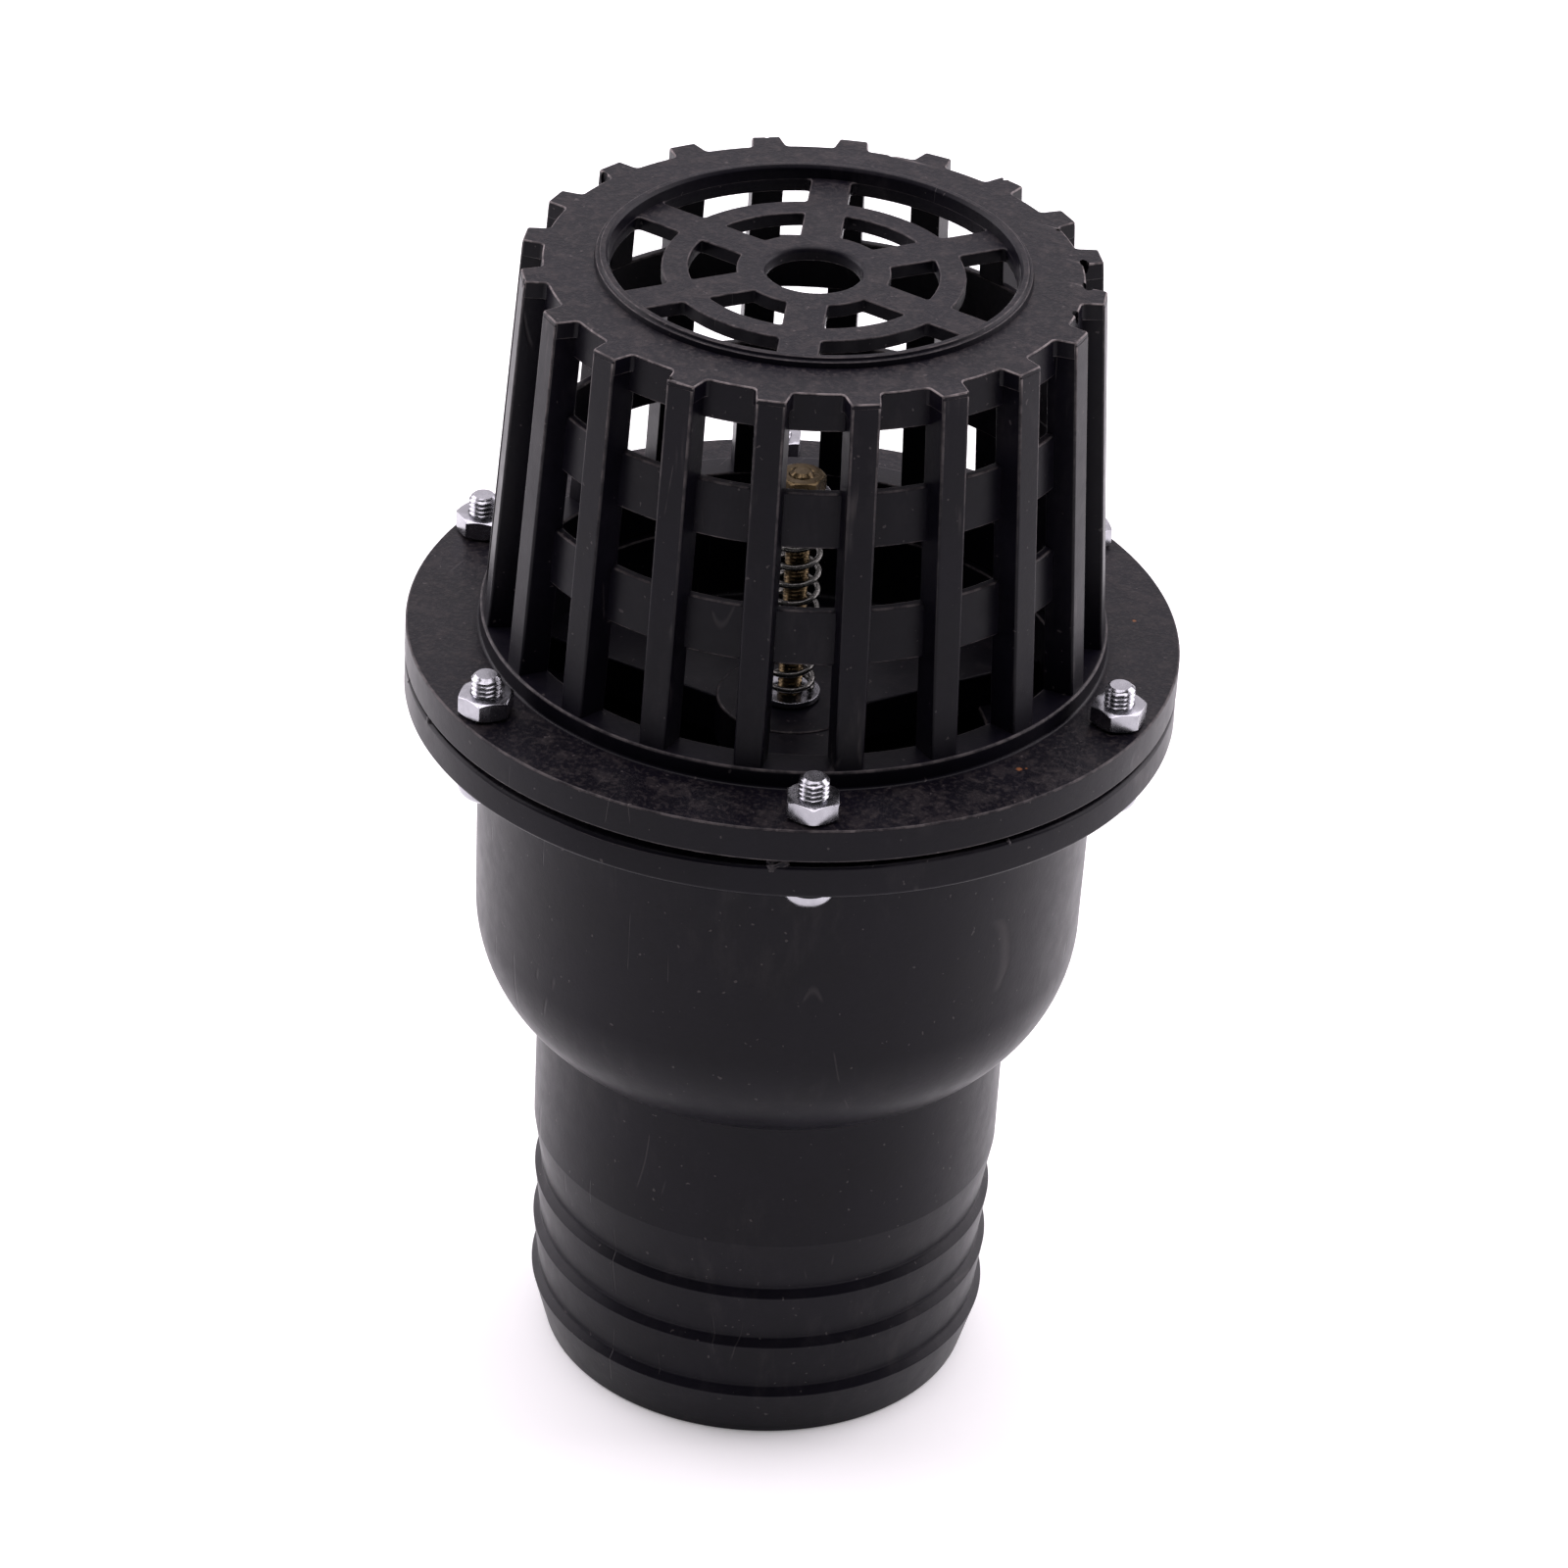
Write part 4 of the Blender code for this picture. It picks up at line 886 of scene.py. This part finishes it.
def shell_radius(sizes, height):
    """Outer radius of the hoops and the skirt, which lean in with the ribs."""
    foot = BASKET_LOW.z + sizes.flange_thickness + sizes.collar_height
    rise = (height - foot) / (BASKET_HIGH.z - sizes.lip_height - foot)
    return sizes.rib_foot - sizes.rib_proud + (sizes.rib_top - sizes.rib_foot) * rise


def toothed_outline(sizes):
    """Rim of the end plate, with a tooth at the top of each rib."""
    tip = sizes.rib_top
    root = sizes.rib_top - sizes.rib_proud
    corners = []
    for number in range(sizes.rib_count):
        middle = TWO_PI * number / sizes.rib_count
        half_tip = math.asin(sizes.rib_width / 2.0 / tip)
        half_root = math.asin((sizes.rib_root / 2.0 + 0.25 * MM) / root)
        corners.append((*polar(root, middle - half_root), 1.1 * MM))
        corners.append((*polar(tip, middle - half_tip), 0.45 * MM))
        corners.append((*polar(tip, middle + half_tip), 0.45 * MM))
        corners.append((*polar(root, middle + half_root), 1.1 * MM))
        gap = TWO_PI / sizes.rib_count - 2.0 * half_root
        for step in range(1, 6):
            corners.append((*polar(root, middle + half_root + gap * step / 6.0), 0.0))
    return rounded(corners, 4)


def grille_opening(sizes, spoke, inner, outer):
    """Outline of the opening between two spokes, its sides parallel to them and its corners rounded."""
    first = sizes.spoke_angle + TWO_PI * spoke / sizes.spoke_count
    second = first + TWO_PI / sizes.spoke_count
    corners = []
    for radius, count, is_outward in ((outer, 14, True), (inner, 10, False)):
        side = math.asin(sizes.spoke / 2.0 / radius)
        start, end = (first + side, second - side) if is_outward else (second - side, first + side)
        for step in range(count + 1):
            fillet = 0.8 * MM if step in (0, count) else 0.0
            corners.append((*polar(radius, start + (end - start) * step / count), fillet))
    return rounded(corners, 4)


def rib(sizes, foot, top):
    """One rib at +X, its outer edges rounded, leaning in towards the top."""
    shape = bmesh.new()
    inset = sizes.shell - 0.1 * MM
    section = rounded([
        (sizes.rib_proud, -sizes.rib_width / 2.0, 0.45 * MM),
        (sizes.rib_proud, sizes.rib_width / 2.0, 0.45 * MM),
        (-inset, sizes.rib_root / 2.0, 0.3 * MM), (-inset, -sizes.rib_root / 2.0, 0.3 * MM)], 4)
    rings = []
    for height in (foot, top):
        radius = shell_radius(sizes, height)
        rings.append([shape.verts.new((radius + u, v, height)) for u, v in section])
    count = len(section)
    for index in range(count):
        after = (index + 1) % count
        shape.faces.new((rings[0][index], rings[0][after], rings[1][after], rings[1][index]))
    shape.faces.new(list(reversed(rings[0])))
    shape.faces.new(rings[1])
    return placed("rib", as_mesh(shape, "rib"))


def nicks(plate_top):
    """Cutters for the chips knocked out of the end plate's teeth."""
    cutters = []
    for reach, degrees, size in TOOTH_CHIPS:
        shape = bmesh.new()
        bmesh.ops.create_icosphere(shape, subdivisions=2, radius=size * MM)
        for vert in shape.verts:
            vert.co *= 1.0 + 0.25 * math.sin(2300.0 * vert.co.x + 1900.0 * vert.co.y + degrees)
            vert.co.z *= 2.4
        bmesh.ops.rotate(shape, verts=shape.verts, cent=(0.0, 0.0, 0.0),
                         matrix=Matrix.Rotation(0.3, 3, "X") @ Matrix.Rotation(0.25, 3, "Y"))
        place = (*polar(reach * MM, math.radians(degrees)), plate_top - 0.3 * MM)
        bmesh.ops.translate(shape, verts=shape.verts, vec=place)
        cutters.append(placed("nick", as_mesh(shape, "nick")))
    return cutters


class FOOTVALVE_OT_basket(bpy.types.Operator):
    """Make the strainer basket: upper flange, collar, ribs, hoops, end plate, lip and grille"""
    bl_idname = "footvalve.basket"
    bl_label = "Strainer basket"

    def execute(self, context):
        sizes = context.scene.footvalve_basket
        bottom = BASKET_LOW.z
        flange_top = bottom + sizes.flange_thickness
        collar_top = flange_top + sizes.collar_height
        plate_top = BASKET_HIGH.z - sizes.lip_height
        inside = shell_radius(sizes, collar_top) - sizes.shell
        base = turned("strainer", rounded([
            (sizes.collar, collar_top, 0.5 * MM), (sizes.collar, flange_top, 0.5 * MM),
            (FLANGE_RADIUS, flange_top, 0.4 * MM), (FLANGE_RADIUS, bottom, 0.5 * MM),
            (inside, bottom, 0.3 * MM), (inside, collar_top, 0.4 * MM)]), 240)
        rings = []
        for low in (sizes.lower_hoop, sizes.upper_hoop):
            high = low + sizes.hoop_height
            rings.append(turned("hoop", rounded([
                (shell_radius(sizes, high), high, 0.4 * MM), (shell_radius(sizes, low), low, 0.4 * MM),
                (shell_radius(sizes, low) - sizes.shell, low, 0.4 * MM),
                (shell_radius(sizes, high) - sizes.shell, high, 0.4 * MM)]), 240))
        skirt_bottom = plate_top - sizes.skirt
        skirt_high = plate_top - 0.4 * MM
        cover = 0.03 * MM
        rings.append(turned("skirt", rounded([
            (shell_radius(sizes, skirt_high) + cover, skirt_high, 0.0),
            (shell_radius(sizes, skirt_bottom) + cover, skirt_bottom, 0.4 * MM),
            (shell_radius(sizes, skirt_bottom) - sizes.shell, skirt_bottom, 0.4 * MM),
            (shell_radius(sizes, skirt_high) - sizes.shell, skirt_high, 0.0)]), 240))
        step = 0.55 * MM
        rings.append(turned("lip", rounded([
            (sizes.grille - 0.1 * MM, plate_top - sizes.recess - MM, 0.0),
            (sizes.grille + 0.15 * MM, plate_top + sizes.lip_height - step, 0.3 * MM),
            (sizes.grille + 0.6 * MM, plate_top + sizes.lip_height, 0.25 * MM),
            (sizes.lip - 0.85 * MM, plate_top + sizes.lip_height, 0.3 * MM),
            (sizes.lip - 0.62 * MM, plate_top + sizes.lip_height - step, 0.15 * MM),
            (sizes.lip - 0.2 * MM, plate_top + sizes.lip_height - step, 0.2 * MM),
            (sizes.lip, plate_top, 0.0), (sizes.lip, plate_top - MM, 0.0)], 3), 240))
        circle = [polar(sizes.grille + 0.5 * MM, TWO_PI * step / 180) for step in range(180)]
        cap = plate_from_outlines(
            "cap", [toothed_outline(sizes), circle], plate_top - sizes.plate, plate_top, 0.3 * MM)
        lean = (sizes.rib_foot - sizes.rib_top) / (plate_top - collar_top)
        for vert in cap.data.vertices:
            reach = math.hypot(vert.co.x, vert.co.y)
            if reach > sizes.lip:
                vert.co.xy *= 1.0 + (plate_top - vert.co.z) * lean / reach
        holes = []
        for spoke in range(sizes.spoke_count):
            holes.append(grille_opening(sizes, spoke, sizes.ring_outer, sizes.grille - 0.05 * MM))
            holes.append(grille_opening(sizes, spoke, sizes.hub, sizes.ring_inner))
        hub = [polar(sizes.hub_hole + 2.0 * MM, TWO_PI * step / 64) for step in range(64)]
        rim = [polar(sizes.grille + 0.9 * MM, TWO_PI * step / 180) for step in range(180)]
        grille_top = plate_top - sizes.recess
        grille = plate_from_outlines(
            "grille", [rim, hub, *holes], grille_top - 2.4 * MM, grille_top, 0.3 * MM)
        rings.append(turned("hub_ring", rounded([
            (sizes.hub - 1.2 * MM, grille_top, 0.0), (sizes.hub - 1.2 * MM, grille_top - 2.4 * MM, 0.0),
            (sizes.hub_hole, grille_top - 2.4 * MM, 0.4 * MM), (sizes.hub_hole, grille_top, 1.0 * MM)]), 96))
        ribs = copies("ribs", rib(sizes, collar_top - MM, plate_top - 0.8 * MM), [
            (0.0, 0.0, 0.0, TWO_PI * number / sizes.rib_count) for number in range(sizes.rib_count)], None)
        basket = combined(base, [ribs, *rings, cap, grille])
        cuts = bolt_holes(context.scene.footvalve_fasteners, bottom - MM, flange_top + MM)
        basket = combined(basket, [cuts, *nicks(plate_top)], "DIFFERENCE")
        colours = context.scene.footvalve_finishes
        material = material_named("Black plastic strainer", plastic_finish, colours, 1.0, 0.8)
        finished(basket, material, "housing", ["strainer_basket"])
        return {"FINISHED"}


class FOOTVALVE_OT_seat(bpy.types.Operator):
    """Make the seat insert and its gasket"""
    bl_idname = "footvalve.seat"
    bl_label = "Seat insert and gasket"

    def execute(self, context):
        sizes = context.scene.footvalve_inside
        clamp_low = SEAT_HIGH.z - sizes.clamp
        skirt_inner = sizes.skirt - sizes.skirt_wall
        land_low = sizes.floor_low - sizes.land_height
        seat = turned("seat_insert", rounded([
            (SEAT_HIGH.x, SEAT_HIGH.z, 0.3 * MM), (SEAT_HIGH.x, clamp_low, 0.3 * MM),
            (sizes.skirt, clamp_low, 0.4 * MM), (sizes.skirt, sizes.floor_low, 0.8 * MM),
            (sizes.bore + sizes.land, sizes.floor_low, 0.3 * MM),
            (sizes.bore + sizes.land - 0.6 * MM, land_low, 0.3 * MM), (sizes.bore, land_low, 0.3 * MM),
            (sizes.bore, sizes.floor_high, 0.5 * MM), (skirt_inner, sizes.floor_high, 1.0 * MM),
            (skirt_inner, SEAT_HIGH.z, 0.4 * MM)]), 160)
        hub_low, hub_high = sizes.arm_low - 0.2 * MM, SPRING_LOW.z - 1.6 * MM
        hub = turned("hub", rounded([
            (0.0, hub_high, 0.0), (sizes.hub, hub_high, 0.5 * MM), (sizes.hub, hub_low, 0.4 * MM),
            (0.0, hub_low, 0.0)], 4, closed=False), 64, closed=False)
        reach = sizes.skirt - sizes.skirt_wall / 2.0
        arms = [box_bar(
            "arm", (3.0 * MM, -sizes.arm / 2.0, sizes.arm_low),
            (reach, sizes.arm / 2.0, sizes.arm_low + sizes.arm_height),
            sizes.arm_angle + TWO_PI * number / 3, 0.4 * MM) for number in range(3)]
        seat = combined(seat, [hub, *arms])
        stem = context.scene.footvalve_fasteners.stem + 0.3 * MM
        bore = turned("bore", [
            (0.0, hub_high + MM), (stem, hub_high + MM), (stem, hub_low - MM), (0.0, hub_low - MM)],
                      32, closed=False)
        seat = combined(seat, [bore], "DIFFERENCE")
        colours = context.scene.footvalve_finishes
        material = material_named("Black plastic strainer", plastic_finish, colours, 1.0, 0.8)
        finished(seat, material, "housing", ["valve_seat"])
        low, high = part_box("seat_gasket")
        gasket = turned("gasket", rounded([
            (high.x, high.z, 0.25 * MM), (high.x, low.z, 0.25 * MM), (48.4 * MM, low.z, 0.25 * MM),
            (48.4 * MM, high.z, 0.25 * MM)]), 160)
        rubber = material_named("Black rubber", rubber_finish, colours.rubber)
        finished(gasket, rubber, "housing", ["seat_gasket"])
        return {"FINISHED"}


class FOOTVALVE_OT_screws(bpy.types.Operator):
    """Make the six flange screws with their round heads and real threads"""
    bl_idname = "footvalve.screws"
    bl_label = "Flange screws"

    def execute(self, context):
        sizes = context.scene.footvalve_fasteners
        low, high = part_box(BOLT_NAMES[0])
        head_top = BODY_HIGH.z - context.scene.footvalve_housing.flange_thickness - 0.3 * MM
        rod = threaded("screw", sizes.screw, sizes.screw_pitch, head_top - MM, high.z, 3.0 * MM)
        edge = head_top - 0.6 * MM
        crown = [(sizes.head * math.cos(a), edge - (edge - low.z) * math.sin(a))
                 for a in (math.radians(90.0 * step / 10) for step in range(11))]
        head = turned("head", [
            (0.0, head_top), (sizes.head - 0.2 * MM, head_top), (sizes.head, head_top - 0.2 * MM)]
                      + crown[:-1] + [(0.0, low.z)], 40, closed=False)
        screw = combined(head, [rod])
        slots = [box_bar("slot", (-2.6 * MM, -0.45 * MM, low.z - MM), (2.6 * MM, 0.45 * MM, low.z + 1.3 * MM),
                         turn, 0.1 * MM) for turn in (0.0, math.pi / 2.0)]
        screw = combined(screw, slots, "DIFFERENCE")
        places = bolt_places(sizes, 0.0, [0.4, 2.0, 1.1, 3.0, 0.7, 2.6])
        colours = context.scene.footvalve_finishes
        material = material_named("Bright zinc", metal_finish, colours.zinc, 0.24)
        screws = copies("flange_screws", screw, places, material)
        finished(screws, material, "housing", BOLT_NAMES)
        return {"FINISHED"}


class FOOTVALVE_OT_nuts(bpy.types.Operator):
    """Make the six hex nuts on the upper flange"""
    bl_idname = "footvalve.nuts"
    bl_label = "Flange nuts"

    def execute(self, context):
        sizes = context.scene.footvalve_fasteners
        low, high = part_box(NUT_NAMES[0])
        nut = hex_body("nut", sizes.nut_flats, low.z, high.z, sizes.screw - 0.35 * MM)
        turns = [math.radians(turn) for turn in NUT_TURNS]
        places = bolt_places(sizes, 0.0, turns)
        colours = context.scene.footvalve_finishes
        material = material_named("Bright zinc", metal_finish, colours.zinc, 0.24)
        nuts = copies("flange_nuts", nut, places, material)
        finished(nuts, material, "housing", NUT_NAMES)
        return {"FINISHED"}


def washer(name, node, bore, steps=64, edge=0.15 * MM):
    """A ring the size of its CAD node, its edges softened."""
    low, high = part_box(node)
    return turned(name, rounded([
        (high.x, high.z, edge), (high.x, low.z, edge), (bore, low.z, edge), (bore, high.z, edge)]), steps)


class FOOTVALVE_OT_spring(bpy.types.Operator):
    """Make the closing spring and the washer it stands on"""
    bl_idname = "footvalve.spring"
    bl_label = "Closing spring"

    def execute(self, context):
        sizes = context.scene.footvalve_inside
        colours = context.scene.footvalve_finishes
        # The wire colour is darkened as painted shade.
        wire = material_named("Spring wire", metal_finish, colours.wire, 0.26)
        line = placed("closing_coil", bpy.data.meshes.new("closing_coil"))
        spring = run_tree(line, coil_tree(), {
            "Coil Radius": sizes.spring, "Wire Radius": sizes.wire, "Turns": sizes.turns,
            "Foot": SPRING_LOW.z, "Length": SPRING_HIGH.z - SPRING_LOW.z, "Material": wire})
        spring = finished(spring, wire, "housing", ["closing_spring"], 50.0)
        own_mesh(spring)
        zinc = material_named("Bright zinc", metal_finish, colours.zinc, 0.24)
        stem = context.scene.footvalve_fasteners.stem + 0.3 * MM
        finished(washer("spring_foot_washer", "spring_seat_washer", stem), zinc, "housing",
                 ["spring_seat_washer"])
        return {"FINISHED"}


class FOOTVALVE_OT_check(bpy.types.Operator):
    """Make the moving valve: stem, disc, rubber facing, washers and nuts"""
    bl_idname = "footvalve.check"
    bl_label = "Moving valve"

    def execute(self, context):
        sizes = context.scene.footvalve_fasteners
        colours = context.scene.footvalve_finishes
        zinc = material_named("Bright zinc", metal_finish, colours.zinc, 0.24)
        # The yellow zinc colour is darkened as painted shade.
        yellow = material_named("Yellow zinc", metal_finish, colours.yellow_zinc, 0.28)
        plastic = material_named("Black plastic housing", plastic_finish, colours, 0.65, 0.5)
        rubber = material_named("Black rubber", rubber_finish, colours.rubber)
        bore = sizes.stem + 0.25 * MM
        body = "check_valve"
        low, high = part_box("valve_stem")
        backing_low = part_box("disc_backing_washer")[0]
        head_top = backing_low.z - 0.3 * MM
        head = hex_body("stem", sizes.stem_nut_flats, low.z, head_top, 0.0)
        rod = threaded("rod", sizes.stem, sizes.stem_pitch, head_top - MM, high.z - 0.8 * MM, 2.0 * MM)
        finished(combined(head, [rod]), yellow, body, ["valve_stem"])
        facing = washer("rubber_facing", "disc_seal", bore, 160, 0.4 * MM)
        finished(facing, rubber, body, ["disc_seal"])
        low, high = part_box("valve_disc")
        disc = turned("disc", rounded([
            (high.x, high.z, 0.3 * MM), (high.x, low.z, 0.6 * MM), (high.x - 3.0 * MM, low.z, 0.3 * MM),
            (high.x - 3.6 * MM, low.z + 0.8 * MM, 0.3 * MM), (12.0 * MM, low.z + 0.8 * MM, 0.3 * MM),
            (11.2 * MM, low.z, 0.3 * MM), (bore, low.z, 0.2 * MM), (bore, high.z, 0.2 * MM)]), 160)
        finished(disc, plastic, body, ["valve_disc"])
        finished(washer("backing_washer", "disc_backing_washer", bore), zinc, body,
                 ["disc_backing_washer"])
        finished(washer("clamp_washer", "seal_clamp_washer", bore), zinc, body,
                 ["seal_clamp_washer"])
        finished(washer("cap_washer", "spring_cap_washer", bore), zinc, body,
                 ["spring_cap_washer"])
        for name, node, coating, slot in (
                ("jam_nut", "stem_jam_nut", zinc, "bright_zinc"),
                ("end_nut", "stem_end_nut", yellow, "yellow_zinc")):
            low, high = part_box(node)
            nut = hex_body(name, sizes.stem_nut_flats, low.z, high.z, sizes.stem - 0.25 * MM)
            finished(nut, coating, body, [node])
        return {"FINISHED"}


class FOOTVALVE_OT_stage(bpy.types.Operator):
    """Set the pale floor, the soft lights and the camera"""
    bl_idname = "footvalve.stage"
    bl_label = "Floor, lights and camera"

    def execute(self, context):
        scene = context.scene
        settings = scene.footvalve_stage
        shape = bmesh.new()
        bmesh.ops.create_grid(shape, x_segments=2, y_segments=2, size=6.0)
        floor = placed("floor", as_mesh(shape, "floor"))
        floor.data.materials.append(glowing_floor_finish("Pale floor", scene.footvalve_finishes.floor))
        facing = settings.azimuth
        away = Vector((-math.cos(facing), -math.sin(facing), 0.0))
        right = Vector((-away.y, away.x, 0.0)) * -1.0
        up = Vector((0.0, 0.0, 1.0))
        self.softbox("overhead", settings.overhead, (2.0, 2.0), away * 0.25 + up * 1.7, settings.light)
        self.softbox("behind", settings.back, (2.4, 1.2), away * 1.25 + up * 0.85, settings.light)
        for name, side in (("left_side", right * -1.2), ("right_side", right * 1.2)):
            self.softbox(name, settings.side, (1.1, 1.3), side + away * 0.5 + up * 0.6, settings.light)
        world = bpy.data.worlds.new("room")
        world.use_nodes = True
        world.node_tree.nodes["Background"].inputs["Color"].default_value = (1.0, 1.0, 1.0, 1.0)
        world.node_tree.nodes["Background"].inputs["Strength"].default_value = settings.world
        scene.world = world
        scene.view_settings.view_transform = "Standard"
        self.camera(settings, away, right)
        return {"FINISHED"}

    def softbox(self, name, power, size, place, tint):
        """A soft rectangular light aimed at the valve's middle."""
        light = bpy.data.lights.new(name, "AREA")
        light.shape = "RECTANGLE"
        light.size, light.size_y = size
        light.energy = power
        light.color = tint
        lamp = bpy.data.objects.new(name, light)
        bpy.context.scene.collection.objects.link(lamp)
        lamp.location = place
        lamp.rotation_euler = (Vector((0.0, 0.0, 0.1)) - place).to_track_quat("-Z", "Y").to_euler()

    def camera(self, settings, away, right):
        """The camera, level with the settings."""
        data = bpy.data.cameras.new("camera")
        data.lens = settings.lens
        data.sensor_width = 36.0
        camera = bpy.data.objects.new("camera", data)
        bpy.context.scene.collection.objects.link(camera)
        up = Vector((0.0, 0.0, 1.0))
        forward = away * math.cos(settings.pitch) - up * math.sin(settings.pitch)
        upright = right.cross(forward)
        tilted_right = right * math.cos(settings.roll) + upright * math.sin(settings.roll)
        tilted_up = upright * math.cos(settings.roll) - right * math.sin(settings.roll)
        place = away * -settings.distance + up * settings.height
        camera.matrix_world = Matrix((
            (tilted_right.x, tilted_up.x, -forward.x, place.x),
            (tilted_right.y, tilted_up.y, -forward.y, place.y),
            (tilted_right.z, tilted_up.z, -forward.z, place.z), (0.0, 0.0, 0.0, 1.0)))
        bpy.context.scene.camera = camera


OPERATORS = (
    FOOTVALVE_OT_stage, FOOTVALVE_OT_housing, FOOTVALVE_OT_basket, FOOTVALVE_OT_seat, FOOTVALVE_OT_screws,
    FOOTVALVE_OT_nuts, FOOTVALVE_OT_spring, FOOTVALVE_OT_check)
GROUPS = {
    "footvalve_housing": HousingSizes, "footvalve_basket": BasketSizes, "footvalve_fasteners": FastenerSizes,
    "footvalve_inside": InsideSizes, "footvalve_finishes": Finishes, "footvalve_stage": StageSettings}


class FOOTVALVE_PT_panel(bpy.types.Panel):
    """Sidebar panel that lists the pieces"""
    bl_idname = "FOOTVALVE_PT_panel"
    bl_label = "Foot Valve"
    bl_space_type = "VIEW_3D"
    bl_region_type = "UI"
    bl_category = "Foot Valve"

    def draw(self, context):
        for operator in OPERATORS:
            self.layout.operator(operator.bl_idname)
        for group_name, group in GROUPS.items():
            box = self.layout.box()
            box.label(text=group.__doc__)
            for key in group.__annotations__:
                box.prop(getattr(context.scene, group_name), key)


def register():
    for group_name, group in GROUPS.items():
        bpy.utils.register_class(group)
        setattr(bpy.types.Scene, group_name, PointerProperty(type=group))
    for item in (*OPERATORS, FOOTVALVE_PT_panel):
        bpy.utils.register_class(item)


def unregister():
    for item in (FOOTVALVE_PT_panel, *reversed(OPERATORS)):
        bpy.utils.unregister_class(item)
    for group_name, group in GROUPS.items():
        delattr(bpy.types.Scene, group_name)
        bpy.utils.unregister_class(group)


def main():
    register()
    bpy.ops.footvalve.stage()
    bpy.ops.footvalve.housing()
    bpy.ops.footvalve.basket()
    bpy.ops.footvalve.seat()
    bpy.ops.footvalve.screws()
    bpy.ops.footvalve.nuts()
    bpy.ops.footvalve.spring()
    bpy.ops.footvalve.check()


if __name__ == "__main__":
    main()
